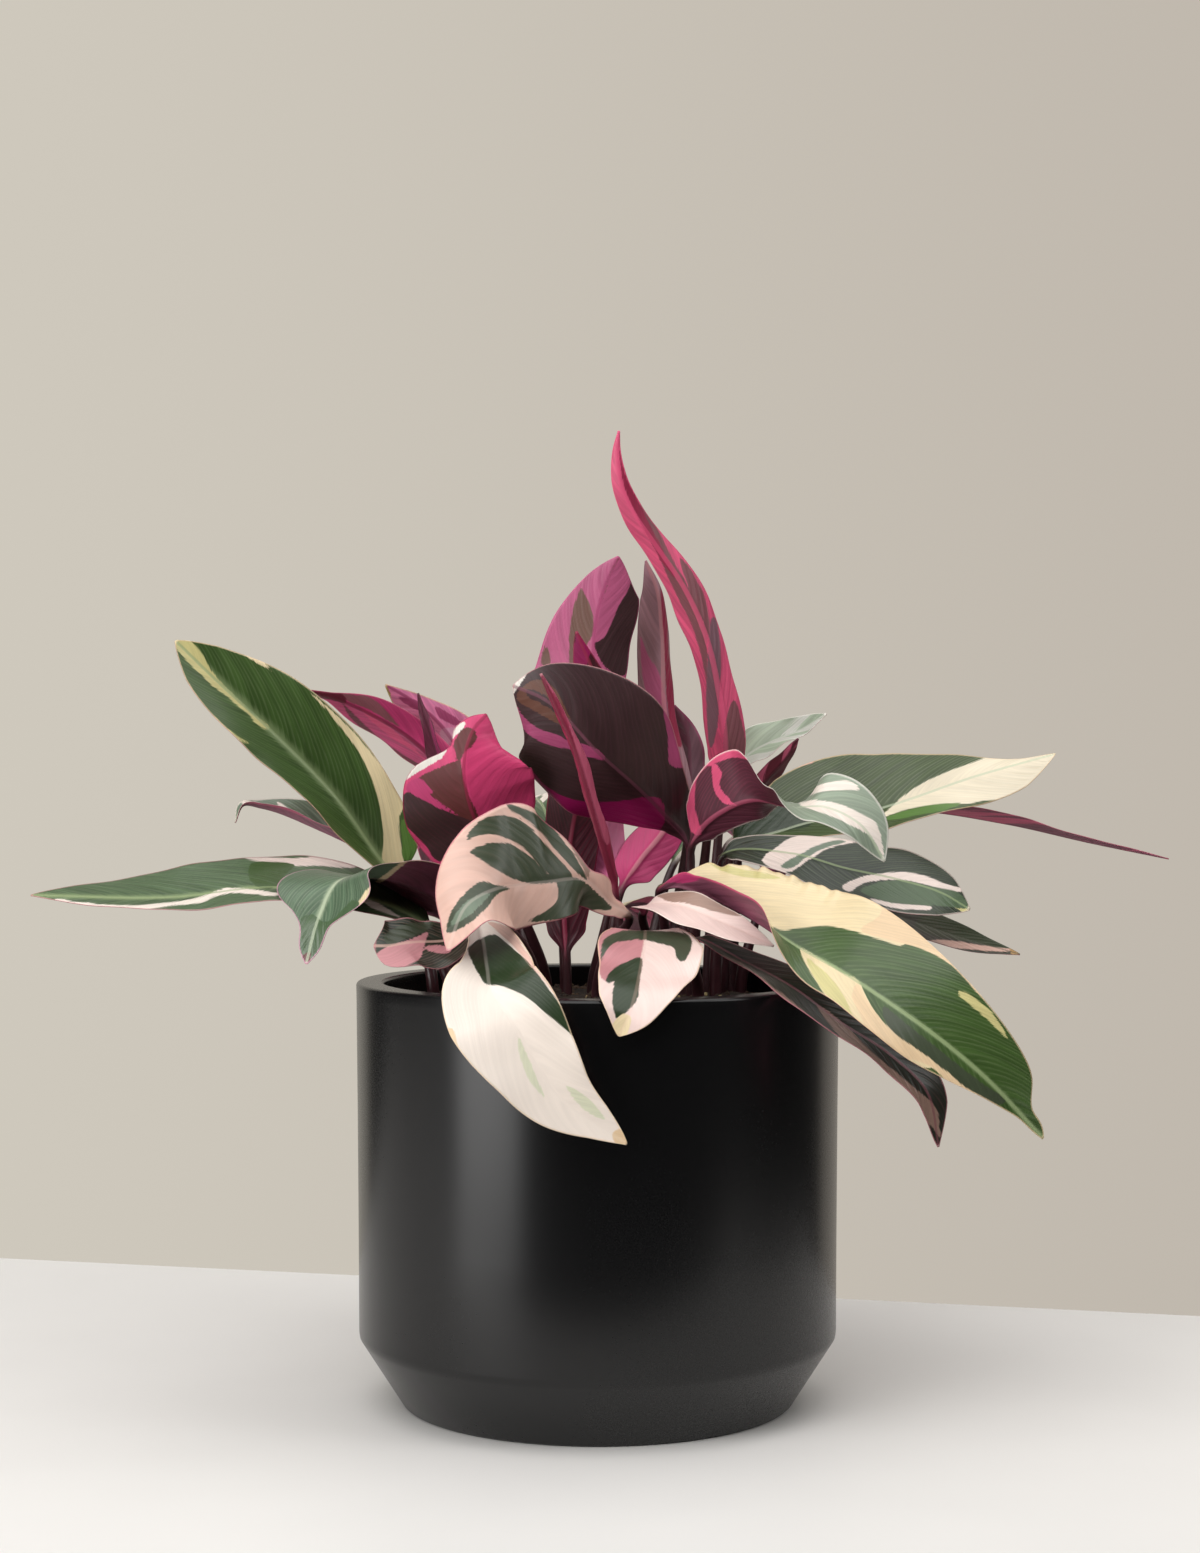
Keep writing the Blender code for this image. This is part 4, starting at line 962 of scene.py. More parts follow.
class Blade:
    """The fine shape of one leaf, ring by ring, with what its paint needs to know at each point."""

    def __init__(self, leaf, look, seed):
        self.leaf = leaf
        self.look = look
        self.seed = seed
        foot = leaf.foot
        rise = [(foot[0], foot[1], HOLE_FLOOR), (foot[0], foot[1], STALK_CLEAR)]
        self.route = Route(rise + leaf.stalk + leaf.blade)
        self.start = self.route.marks[len(rise) + len(leaf.stalk)]
        self.length = self.route.marks[-1] - self.start
        self.up = [np.array(direction, dtype=float) for direction in leaf.up]
        self.u = np.linspace(-1.0, 1.0, COLUMNS + 1)

    def reach(self, v):
        """Midrib to margin at each point across."""
        widths = [half_width(self.leaf, v, 0), half_width(self.leaf, v, 1)]
        for side, place, depth, span in self.look.nicks:
            widths[side] *= 1 - depth * math.exp(-((v - place) / span) ** 2)
        return np.where(self.u > 0, widths[1], widths[0])

    def vein(self, v, reach):
        """Where along the midrib the side vein through each point starts, in mm."""
        return v * self.length - self.look.sweep * reach * np.abs(self.u) ** VEIN_BEND

    def across(self, v):
        """Across the blade: sideways, towards the upper face, and the tilt to each side."""
        leaf = self.leaf
        u = self.u
        side = (u > 0).astype(float)
        reach = self.reach(v)
        run = np.abs(u) * reach
        fold = math.radians(between(leaf.fold, v))
        curl = np.where(u > 0, math.radians(leaf.curl[1]), math.radians(leaf.curl[0]))
        bend = curl / reach
        tilt = fold + bend * run
        bent = np.abs(bend) > 1e-6
        safe = np.where(bent, bend, 1.0)
        out = np.where(bent, (np.sin(tilt) - math.sin(fold)) / safe, run * math.cos(fold))
        rise = np.where(bent, (math.cos(fold) - np.cos(tilt)) / safe, run * math.sin(fold))
        rise -= math.sin(fold) * MIDRIB_ROUND * (1 - np.exp(-run / MIDRIB_ROUND)) * MIDRIB_ROUND_SHARE
        size, count = leaf.wave
        swell = math.sin(math.pi * min(v, 1.0))
        ripple = size * np.sin(2 * math.pi * count * v + WAVE_LAG * side) * u * u * swell
        crimp = v * self.length / CRIMP_PITCH * 2 * math.pi + self.seed + CRIMP_LAG * side
        ripple += CRIMP_HEIGHT * np.sin(crimp) * np.abs(u) ** 5 * swell
        veins = self.vein(v, reach)
        pleat = np.sin(2 * math.pi * veins / PLEAT_PITCH + self.seed)
        pleat += 0.5 * np.sin(2 * math.pi * veins / (PLEAT_PITCH * FINE_PLEAT_SHARE) + 2.1 * self.seed)
        for hand, first, last, height in self.look.crinkle:
            if first < v < last:
                place = v * self.length
                lump = np.sin(place / CRINKLE_LONG) + np.sin(place / CRINKLE_SHORT + 5.0 * u * u)
                pucker = math.sin(math.pi * (v - first) / (last - first))
                ripple += height * lump * (side == hand) * np.abs(u) ** 6 * pucker
        pleat_height = PLEAT_HEIGHT * (0.1 + 0.9 * self.look.top.veins)
        from_midrib = np.minimum(1.0, run / PLEAT_FADE)
        from_margin = np.minimum(1.0, (reach - run) / PLEAT_FADE)
        ripple += pleat_height * pleat * from_midrib * from_margin
        ripple -= GROOVE_DEPTH * np.exp(-(run / GROOVE_HALF_WIDTH) ** 2) * (1 - v)
        out = out - ripple * np.sin(tilt)
        rise = rise + ripple * np.cos(tilt)
        hand = np.where(u < 0, -1.0, 1.0)
        return hand * out, rise, hand * tilt

    def ring(self, v):
        """One ring of the blade, upper face from left to right and under face back again."""
        out, rise, tilt = self.across(v)
        reach = self.reach(v)
        run = np.abs(self.u) * reach
        deep = HEM_THICKNESS + (BLADE_THICKNESS - HEM_THICKNESS) * (1 - np.abs(self.u) ** 2)
        deep = deep + MIDRIB_DEPTH * (1 - v) ** 1.5 * np.exp(-(run / MIDRIB_HALF_WIDTH) ** 2)
        under = np.column_stack([out + deep * np.sin(tilt), rise - deep * np.cos(tilt)])
        return np.vstack([np.column_stack([out, rise]), under[::-1]])

    def stalk_ring(self, radius, drop):
        """One ring of the stalk in the same order; drop 1 hangs it under its line, 0 centres it."""
        count = 2 * (COLUMNS + 1)
        angle = math.pi * (1 - (2 * np.arange(count) + 1) / count)
        return np.column_stack([radius * np.cos(angle), radius * (np.sin(angle) - drop)])

    def rings(self):
        """All rings from the foot of the stalk to the tip, each with its place v along the blade."""
        rows = []
        count = max(int(self.length / ROW_STEP), LEAST_ROWS)
        for i in range(count + 1):
            even = i / count
            v = 0.8 * even + 0.1 * (1 - math.cos(math.pi * even))
            mark = self.start + v * self.length
            ahead = self.route.heading(mark)
            facing = between(self.up, v)
            facing = unit(facing - ahead * facing.dot(ahead))
            share = ease(v / NECK)
            ring = self.stalk_ring(STALK_RADIUS_HIGH, 1.0) * (1 - share) + self.ring(v) * share
            rows.append((v, self.route.at(mark), ahead, facing, ring))
        facing = rows[0][3]
        count = max(int(self.start / STALK_STEP), LEAST_STALK_ROWS)
        for i in range(1, count + 1):
            mark = self.start * (1 - i / count)
            ahead = self.route.heading(mark)
            facing = unit(facing - ahead * facing.dot(ahead))
            share = ease((self.start - mark) / self.start * 1.5)
            radius = STALK_RADIUS_HIGH + (STALK_RADIUS_LOW - STALK_RADIUS_HIGH) * share
            ring = self.stalk_ring(radius, 1.0 - share)
            rows.insert(0, ((mark - self.start) / self.length, self.route.at(mark), ahead, facing, ring))
        return rows


def photo_place(points):
    """Where points in millimetres fall in the photograph's frame, and the pixels to a millimetre."""
    deep = points[:, 1] - CAMERA_AT[1]
    scale = FOCAL_PX / deep
    x = PHOTO_WIDTH / 2 + (points[:, 0] - CAMERA_AT[0]) * scale
    y = PHOTO_HEIGHT / 2 + (CAMERA_AT[2] - points[:, 2]) * scale
    return np.column_stack([x, y]), scale


def rounded_outline(outline):
    """A closed outline with its corners eased, through the given points."""
    points = np.array(outline, dtype=float)
    before = np.roll(points, 1, axis=0)
    after = np.roll(points, -1, axis=0)
    later = np.roll(points, -2, axis=0)
    loop = []
    for t in (0.0, 0.25, 0.5, 0.75):
        curve = 2 * points + (after - before) * t + (2 * before - 5 * points + 4 * after - later) * t * t
        loop.append((curve + (3 * points - before - 3 * after + later) * t ** 3) / 2)
    return np.stack(loop, axis=1).reshape(-1, 2)


def inside_depth(places, outline):
    """How far inside a closed outline each place lies, negative outside it, in the outline's units."""
    loop = rounded_outline(outline)
    nearest = np.full(len(places), 1e9)
    crossings = np.zeros(len(places), dtype=int)
    for a, b in zip(loop, np.roll(loop, -1, axis=0)):
        edge = b - a
        to_place = places - a
        t = np.clip(to_place @ edge / max(edge @ edge, 1e-9), 0.0, 1.0)
        nearest = np.minimum(nearest, np.linalg.norm(to_place - t[:, None] * edge, axis=1))
        spans = (a[1] > places[:, 1]) != (b[1] > places[:, 1])
        rise = edge[1] if abs(edge[1]) > 1e-9 else 1e-9
        crossings += spans & (places[:, 0] < a[0] + (places[:, 1] - a[1]) / rise * edge[0])
    return np.where(crossings % 2 == 1, nearest, -nearest)


def paint_fields(points, top_face, patches):
    """The depth inside each layer's patches at every point of a leaf, in millimetres."""
    places, scale = photo_place(points)
    fields = {layer: np.full(len(points), FAR_OUTSIDE) for layer in LAYERS}
    for patch in patches:
        depth = inside_depth(places, patch.outline) / scale
        own = top_face if patch.face == "top" else ~top_face
        if patch.paint == "ground":
            for layer in LAYERS:
                fields[layer] = np.where(own, np.minimum(fields[layer], -depth), fields[layer])
        else:
            fields[patch.paint] = np.where(own, np.maximum(fields[patch.paint], depth), fields[patch.paint])
    return fields


def mesh_piece(name, points, faces, material):
    """A smooth-shaded mesh object from points in millimetres, whose normals point outwards."""
    mesh = bpy.data.meshes.new(name)
    mesh.from_pydata((points * MM).tolist(), [], faces)
    mesh.materials.append(material)
    shape = bmesh.new()
    shape.from_mesh(mesh)
    bmesh.ops.recalc_face_normals(shape, faces=shape.faces)
    shape.to_mesh(mesh)
    shape.free()
    mesh.shade_smooth()
    piece = bpy.data.objects.new(name, mesh)
    bpy.context.scene.collection.objects.link(piece)
    return piece


def ring_faces(rows, count):
    """Quads between rings of the same count, with a flat end at each end."""
    faces = [tuple(range(count))[::-1]]
    for i in range(rows - 1):
        low = i * count
        for j in range(count):
            k = (j + 1) % count
            faces.append((low + j, low + k, low + count + k, low + count + j))
    faces.append(tuple(range((rows - 1) * count, rows * count)))
    return faces


def make_leaf(name, leaf, seed):
    """A fine leaf with its stalk, and on its points the measures that its paint follows."""
    look = LOOKS[name]
    blade = Blade(leaf, look, seed)
    rows = blade.rings()
    u = np.concatenate([blade.u, blade.u[::-1]])
    top_face = np.arange(len(u)) <= COLUMNS
    points = []
    marks = {key: [] for key in ("along", "vein", "rib", "hem", "side")}
    for v, centre, ahead, facing, ring in rows:
        right = np.cross(ahead, facing)
        points.append(centre + ring[:, :1] * right + ring[:, 1:] * facing)
        reach = blade.reach(v)
        run = np.abs(blade.u) * reach
        end = max((1.0 - v) * blade.length * 0.5, 0.0)
        upper = {"vein": blade.vein(v, reach), "rib": run, "hem": np.minimum(reach - run, end)}
        for key, value in upper.items():
            marks[key].append(np.concatenate([value, value[::-1]]))
        marks["along"].append(np.full(len(u), v))
        marks["side"].append(np.sign(u))
    points = np.vstack(points)
    faces = ring_faces(len(rows), len(u))
    piece = mesh_piece(name + "_fine", points, faces, leaf_finish(name, look, seed))
    tops = np.tile(top_face, len(rows))
    values = {key: np.concatenate(value) for key, value in marks.items()}
    values["face"] = tops.astype(float)
    values.update(paint_fields(points, tops, look.patches))
    for key, value in values.items():
        layer = piece.data.attributes.new(key, "FLOAT", "POINT")
        layer.data.foreach_set("value", value.astype(np.float32))
    settle(piece, name)


def settle(piece, node):
    """Hang a piece under the root body in place of a node, and hide the node."""
    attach(piece, "root")
    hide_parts(node)


def tint(red, green, blue, share=1.0):
    """A linear colour from screen values 0 to 255."""
    linear = []
    for value in (red, green, blue):
        value = value / 255
        linear.append((value / 12.92 if value <= 0.04045 else ((value + 0.055) / 1.055) ** 2.4) * share)
    return (*linear, 1.0)


class Wire:
    """A shader value: arithmetic on it adds Math nodes to its finish."""

    def __init__(self, finish, socket):
        self.finish = finish
        self.socket = socket

    def sum_with(self, operation, first, second=None):
        inputs = {0: first} if second is None else {0: first, 1: second}
        return self.finish.add("ShaderNodeMath", {"operation": operation}, inputs)

    def __add__(self, other):
        return self.sum_with("ADD", self, other)

    def __radd__(self, other):
        return self.sum_with("ADD", other, self)

    def __sub__(self, other):
        return self.sum_with("SUBTRACT", self, other)

    def __rsub__(self, other):
        return self.sum_with("SUBTRACT", other, self)

    def __mul__(self, other):
        return self.sum_with("MULTIPLY", self, other)

    def __rmul__(self, other):
        return self.sum_with("MULTIPLY", other, self)

    def __truediv__(self, other):
        return self.sum_with("DIVIDE", self, other)

    def __pow__(self, other):
        return self.sum_with("POWER", self, other)

    def sine(self):
        return self.sum_with("SINE", self)

    def step(self, low, high, bottom=0.0, top=1.0):
        """A soft step from bottom to top as the value goes from low to high."""
        limits = {0: self, 1: low, 2: high, 3: bottom, 4: top}
        return self.finish.add("ShaderNodeMapRange", {"interpolation_type": "SMOOTHSTEP"}, limits)


class Finish:
    """A procedural finish built around one Principled shader."""

    def __init__(self, name):
        self.material = bpy.data.materials.new(name)
        self.material.use_nodes = True
        self.tree = self.material.node_tree
        self.shader = self.tree.nodes["Principled BSDF"]

    def add(self, kind, settings=None, inputs=None, output=0):
        """A node of a kind, its settings made first, then the values or links of its sockets."""
        node = self.tree.nodes.new(kind)
        for key, value in (settings or {}).items():
            setattr(node, key, value)
        for key, value in (inputs or {}).items():
            self.join(value, node.inputs[key])
        return Wire(self, node.outputs[output])

    def join(self, value, socket):
        """Link a wire to a socket, or set the socket's own value."""
        if isinstance(value, Wire):
            self.tree.links.new(value.socket, socket)
        else:
            socket.default_value = value

    def read(self, attribute):
        """A number kept on the mesh."""
        return self.add("ShaderNodeAttribute", {"attribute_name": attribute}, output="Fac")

    def at(self, x, y, z):
        """A place made of three values."""
        return self.add("ShaderNodeCombineXYZ", {}, {0: x, 1: y, 2: z})

    def noise(self, place, scale, detail=2.0, rough=0.5):
        """Noise about zero, from -1 to 1."""
        inputs = {"Vector": place, "Scale": scale, "Detail": detail, "Roughness": rough}
        return (self.add("ShaderNodeTexNoise", {}, inputs) - 0.5) * 2.0

    def blend(self, factor, first, second):
        """A colour between two others."""
        inputs = {0: factor, 6: first, 7: second}
        return self.add("ShaderNodeMix", {"data_type": "RGBA"}, inputs, output=2)

    def spread(self, values):
        """Give the shader its values, by socket name."""
        for key, value in values.items():
            self.join(value, self.shader.inputs[key])

    def bump(self, height, strength, distance):
        """Raise the surface by a height in units of distance, in metres."""
        inputs = {"Strength": strength, "Distance": distance, "Height": height}
        self.join(self.add("ShaderNodeBump", {}, inputs), self.shader.inputs["Normal"])


def leaf_coat(finish, coat, used, flow):
    """The colour of one face of a leaf: ground, patches with feathered edges, veins, midrib and hem."""
    vein, rib, hem, fine, broad, lines = flow
    ground = tint(*PAINTS[coat.ground])
    midrib = tint(*PAINTS[coat.rib])
    darker = tint(*PAINTS[coat.ground], 1.0 - GROUND_DARKER * coat.veins)
    lighter = tint(*PAINTS[coat.ground], 1.0 + GROUND_LIGHTER * coat.veins)
    shade = finish.blend(broad.step(-0.5, 0.6), darker, lighter)
    shade = finish.blend(lines * (VEIN_LINE_SHARE * coat.veins), shade, midrib)
    if coat.feather > 0:
        reach = (fine * 0.5 + broad * 0.4 + 1.0) * coat.feather
        glow = 1.0 - (rib / reach).step(0.1, 1.6)
        shade = finish.blend(glow * GLOW_SHARE, shade, midrib)
    paints = dict(zip(LAYERS, (coat.first, coat.second, coat.third, coat.fourth)))
    depths = [(layer, finish.read(layer) + fine * 0.9 + broad * 0.5) for layer in used]
    if not used:
        place = finish.at(vein * 0.055, rib * 0.02, finish.read("side") * 6.0 + 2.5)
        sector = finish.noise(place, 1.0, 1.0)
        depths = [("first", sector * 9.0 + fine * 1.4 - 1.6)]
    for layer, depth in depths:
        paint = PAINTS[paints[layer]]
        colour = finish.blend((fine + broad).step(-0.9, 1.0), tint(*paint, 0.86), tint(*paint, 1.05))
        faint = finish.blend(lines * (VEIN_LINE_ON_PATCH * coat.veins), colour, ground)
        shade = finish.blend(depth.step(-0.22, 0.34), shade, faint)
    ridge = 1.0 - rib.step(0.35, 0.95)
    shade = finish.blend(ridge * coat.ridge, shade, midrib)
    margin = 1.0 - (hem + fine * 0.25).step(coat.edge * 0.3, coat.edge)
    return finish.blend(margin * coat.trim, shade, tint(*PAINTS[coat.hem]))


def used_layers(look, face):
    """The layers that a face's patches use, in the order they are painted."""
    painted = {patch.paint for patch in look.patches if patch.face == face}
    return [layer for layer in LAYERS if layer in painted]


def leaf_finish(name, look, seed):
    """Living leaf: painted patches feathered along the veins, satin above and matt below."""
    finish = Finish(name)
    vein = finish.read("vein")
    rib = finish.read("rib")
    hem = finish.read("hem")
    side = finish.read("side")
    face = finish.read("face")
    along = finish.read("along")
    fine = finish.noise(finish.at(vein * 0.9, rib * 0.16, side * 3.0 + seed), 1.0, 3.0, 0.6)
    broad = finish.noise(finish.at(vein * 0.16, rib * 0.07, side * 5.0 + seed + 9.0), 1.0, 2.0)
    ribs = (vein * (2 * math.pi / VEIN_LINE_PITCH) + fine * 2.6 + broad * 4.0).sine()
    lines = (ribs * 0.5 + 0.5) ** 3.0 * (fine + 0.75) * (rib - 0.6).step(0.0, 3.0)
    flow = (vein, rib, hem, fine, broad, lines)
    upper = leaf_coat(finish, look.top, used_layers(look, "top"), flow)
    lower = leaf_coat(finish, look.under, used_layers(look, "under"), flow)
    blade = finish.blend(face, lower, upper)
    stalk_tone = finish.noise(finish.at(side * 2.0 + seed, along * 9.0, rib * 0.9), 1.0, 3.0)
    stalk_paint = PAINTS[STALK_PAINT]
    stalk = finish.blend(stalk_tone.step(-0.6, 0.6), tint(*stalk_paint, 0.6), tint(*stalk_paint, 1.35))
    colour = finish.blend(along.step(-0.02, 0.05), stalk, blade)
    sheen = fine * 0.05 + broad * 0.04 + LEAF_ROUGHNESS - face * UPPER_FACE_GLOSS
    finish.spread({"Base Color": colour, "Roughness": sheen, "Specular IOR Level": 0.5})
    finish.bump(ribs * 0.2 + fine * 0.35, 0.22 + 0.1 * look.top.veins, 0.0002)
    return finish.material


def turned_piece(name, profile, steps, material, lift=None):
    """A closed turned piece from (radius, height) points that run from the axis back to the axis."""
    points = []
    for radius, height in profile[1:-1]:
        for j in range(steps):
            angle = 2 * math.pi * j / steps
            points.append((radius * math.cos(angle), radius * math.sin(angle), height))
    points = np.array(points)
    if lift is not None:
        points[:, 2] += lift(points)
    rows = len(profile) - 2
    poles = np.array([(0.0, 0.0, profile[0][1]), (0.0, 0.0, profile[-1][1])])
    if lift is not None:
        poles[0, 2] += lift(poles[:1])[0]
    faces = []
    for i in range(rows - 1):
        for j in range(steps):
            k = (j + 1) % steps
            low = i * steps
            faces.append((low + j, low + k, low + steps + k, low + steps + j))
    top = rows * steps
    for j in range(steps):
        k = (j + 1) % steps
        faces.append((top, k, j))
        faces.append((top + 1, (rows - 1) * steps + j, (rows - 1) * steps + k))
    return mesh_piece(name, np.vstack([points, poles]), faces, material)


def arc(centre, radius, start, end, steps):
    """Points on an arc in the profile's plane, with angles in degrees."""
    points = []
    for i in range(steps + 1):
        angle = math.radians(start + (end - start) * i / steps)
        points.append((centre[0] + radius * math.cos(angle), centre[1] + radius * math.sin(angle)))
    return points


def pot_finish():
    """Satin black with a faint mottle."""
    finish = Finish("satin_black_pot")
    place = finish.add("ShaderNodeTexCoord", output="Object")
    cloud = finish.noise(place, 9.0, 3.0)
    grain = finish.noise(place, 900.0, 2.0)
    black = finish.blend(cloud.step(-0.6, 0.6), tint(8, 8, 9), tint(12, 12, 13))
    rough = cloud * 0.015 + grain * 0.01 + 0.27
    finish.spread({"Base Color": black, "Roughness": rough, "Specular IOR Level": 0.42})
    return finish.material


def make_pot():
    """The pot, with a rounded rim and a soft crease above the chamfered foot."""
    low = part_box("pot")[0]
    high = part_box("pot")[1]
    outer = (high[0] - low[0]) / 2 / MM
    top = high[2] / MM
    rim = top - POT_EDGE
    profile = [(0.0, POT_FLOOR), (POT_FLOOR_RADIUS, POT_FLOOR), (POT_WALL_RADIUS_LOW, POT_CREASE)]
    profile += [(POT_MOUTH_RADIUS, rim - 30.0), (POT_MOUTH_RADIUS, rim - 4.0)]
    profile += arc((POT_MOUTH_RADIUS + POT_EDGE, rim), POT_EDGE, 180, 90, POT_ARC_STEPS)
    profile += arc((outer - POT_EDGE, rim), POT_EDGE, 90, 0, POT_ARC_STEPS)
    profile += [(outer - 0.1, rim - 4.0), (outer - 0.6, rim - 50.0), (outer - 1.0, rim - 100.0)]
    profile += [(POT_CREASE_RADIUS + 0.05, POT_CREASE + 2.5), (POT_CREASE_RADIUS - 0.25, POT_CREASE + 0.4)]
    profile += [(POT_CREASE_RADIUS - 1.5, POT_CREASE - 1.6), (POT_FOOT_RADIUS + 1.2, 1.0)]
    profile += [(POT_FOOT_RADIUS + 0.3, 0.25), (POT_FOOT_RADIUS - 0.5, 0.0), (0.0, 0.0)]
    piece = turned_piece("pot_shell", profile, POT_STEPS, pot_finish())
    settle(piece, "pot")


def soil_lift(points):
    """Lumps of potting soil, in millimetres, fading out at the pot's wall."""
    x = points[:, 0]
    y = points[:, 1]
    lumps = 0.9 * np.sin(x / 7.0 + 1.3 * np.sin(y / 9.0)) * np.cos(y / 6.0 + 0.7)
    lumps += 0.5 * np.sin(x / 3.1 + y / 4.3) * np.sin(y / 2.7 - x / 5.0)
    fade = np.clip((POT_MOUTH_RADIUS - 1.0 - np.hypot(x, y)) / 8.0, 0.0, 1.0)
    return lumps * fade * (points[:, 2] > SOIL_TOP - SOIL_SKIN)


def soil_finish():
    """Damp brown potting soil."""
    finish = Finish("potting_soil")
    place = finish.add("ShaderNodeTexCoord", output="Object")
    grit = finish.noise(place, 420.0, 5.0, 0.7)
    patchy = finish.noise(place, 60.0, 3.0)
    dark = finish.blend(patchy.step(-0.5, 0.5), tint(34, 25, 20), tint(58, 44, 33))
    soil = finish.blend(grit.step(0.0, 0.8), dark, tint(98, 80, 60))
    finish.spread({"Base Color": soil, "Roughness": 0.95})
    finish.bump(grit, 0.9, 0.0012)
    return finish.material


def crumb_finish(name, low, high):
    """Crumbs of soil or mineral, each a little different."""
    finish = Finish(name)
    place = finish.add("ShaderNodeTexCoord", output="Object")
    tone = finish.noise(place, 160.0, 2.0)
    colour = finish.blend(tone.step(-0.5, 0.5), tint(*low), tint(*high))
    finish.spread({"Base Color": colour, "Roughness": 0.9})
    return finish.material


def make_soil():
    """The soil bed inside the pot."""
    side = POT_MOUTH_RADIUS - SEAT_GAP
    crown = SOIL_TOP + SOIL_CROWN
    profile = [(0.0, crown)]
    for radius in np.arange(2.0, 86.1, 2.0):
        profile.append((radius, crown - SOIL_DROP * (radius / SOIL_DROP_RADIUS) ** 2))
    profile += [(side - 0.05, SOIL_TOP - 1.5), (POT_WALL_RADIUS_LOW - SEAT_GAP, POT_CREASE + 0.1)]
    profile += [(POT_FLOOR_RADIUS - SEAT_GAP, POT_FLOOR + SEAT_GAP), (0.0, POT_FLOOR + SEAT_GAP)]
    bed = turned_piece("soil_bed", profile, SOIL_STEPS, soil_finish(), soil_lift)
    settle(bed, "soil")
    return bed


def crumb_tree(name):
    """A node tree that scatters small lumps over the soil's top."""
    tree = bpy.data.node_groups.new(name, "GeometryNodeTree")
    face = tree.interface
    face.new_socket("Geometry", in_out="INPUT", socket_type="NodeSocketGeometry")
    for label, kind in (("Count", "NodeSocketFloat"), ("Least size", "NodeSocketFloat"),
                        ("Most size", "NodeSocketFloat"), ("Seed", "NodeSocketInt"),
                        ("Top height", "NodeSocketFloat"), ("Finish", "NodeSocketMaterial")):
        face.new_socket(label, in_out="INPUT", socket_type=kind)
    face.new_socket("Geometry", in_out="OUTPUT", socket_type="NodeSocketGeometry")

    def add(kind, settings=None, links=None):
        node = tree.nodes.new(kind)
        for key, value in (settings or {}).items():
            setattr(node, key, value)
        for key, value in (links or {}).items():
            if isinstance(value, bpy.types.NodeSocket):
                tree.links.new(value, node.inputs[key])
            else:
                node.inputs[key].default_value = value
        return node

    given = add("NodeGroupInput").outputs
    place = add("GeometryNodeInputPosition").outputs[0]
    height = add("ShaderNodeSeparateXYZ", links={0: place}).outputs[2]
    normal = add("GeometryNodeInputNormal").outputs[0]
    facing = add("ShaderNodeSeparateXYZ", links={0: normal}).outputs[2]
    above = {"operation": "GREATER_THAN"}
    high = add("FunctionNodeCompare", above, {0: height, 1: given["Top height"]}).outputs[0]
    level = add("FunctionNodeCompare", above, {0: facing, 1: 0.5}).outputs[0]
    chosen = add("FunctionNodeBooleanMath", {"operation": "AND"}, {0: high, 1: level}).outputs[0]
    scatter = add("GeometryNodeDistributePointsOnFaces", links={
        "Mesh": given["Geometry"], "Selection": chosen, "Density": given["Count"], "Seed": given["Seed"]})
    lump = add("GeometryNodeMeshIcoSphere", links={"Radius": 1.0, "Subdivisions": 1}).outputs[0]
    size = add("FunctionNodeRandomValue", {"data_type": "FLOAT"}, {
        2: given["Least size"], 3: given["Most size"], "Seed": given["Seed"]}).outputs[1]
    squash = add("FunctionNodeRandomValue", {"data_type": "FLOAT_VECTOR"}, {
        0: (0.6, 0.6, 0.45), 1: (1.3, 1.2, 0.9), "Seed": 4}).outputs[0]
    scale = add("ShaderNodeVectorMath", {"operation": "SCALE"}, {0: squash, "Scale": size}).outputs[0]
    turn = add("FunctionNodeRandomValue", {"data_type": "FLOAT_VECTOR"}, {
        0: (0.0, 0.0, 0.0), 1: (6.28, 6.28, 6.28), "Seed": 7}).outputs[0]
    lumps = add("GeometryNodeInstanceOnPoints", links={
        "Points": scatter.outputs["Points"], "Instance": lump, "Rotation": turn, "Scale": scale}).outputs[0]
    real = add("GeometryNodeRealizeInstances", links={0: lumps}).outputs[0]
    dressed = add("GeometryNodeSetMaterial", links={"Geometry": real, "Material": given["Finish"]})
    add("NodeGroupOutput", links={0: dressed.outputs[0]})
    return tree


def scatter_crumbs(name, bed, density, least, most, seed, material):
    """Crumbs on the soil as a plain mesh, from the node tree."""
    piece = bpy.data.objects.new(name, bed.data.copy())
    bpy.context.scene.collection.objects.link(piece)
    tree = crumb_tree(name)
    values = {"Count": density, "Least size": least * MM, "Most size": most * MM, "Seed": seed,
              "Top height": (SOIL_TOP - SOIL_SKIN) * MM, "Finish": material}
    modifier = piece.modifiers.new("crumbs", "NODES")
    modifier.node_group = tree
    for item in tree.interface.items_tree:
        if item.in_out == "INPUT" and item.name in values:
            modifier[item.identifier] = values[item.name]
    evaluated = piece.evaluated_get(bpy.context.evaluated_depsgraph_get())
    mesh = bpy.data.meshes.new_from_object(evaluated)
    piece.modifiers.remove(modifier)
    piece.data = mesh
    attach(piece, "root")


def stage_piece(name, points, faces, material):
    """A floor or backdrop, in metres."""
    mesh = bpy.data.meshes.new(name)
    mesh.from_pydata(points, [], faces)
    mesh.materials.append(material)
    piece = bpy.data.objects.new(name, mesh)
    bpy.context.scene.collection.objects.link(piece)


def wall_finish():
    """Warm grey paper that glows by emission, with painted light: brighter to the left, fading to the right.
    """
    finish = Finish("grey_paper_painted_light")
    place = finish.add("ShaderNodeTexCoord", output="Object")
    x = finish.add("ShaderNodeSeparateXYZ", {}, {0: place})
    mottle = finish.noise(place, 0.9, 2.0)
    # painted light: the glow grades from brighter on the left to darker on the right
    fade = x.step(-1.1, 1.1) + mottle * 0.06
    paper_painted_light = finish.blend(fade, tint(206, 200, 188), tint(190, 182, 171))
    finish.spread({"Base Color": tint(20, 19, 18), "Roughness": 1.0})
    finish.spread({"Emission Color": paper_painted_light, "Emission Strength": 1.0})
    return finish.material


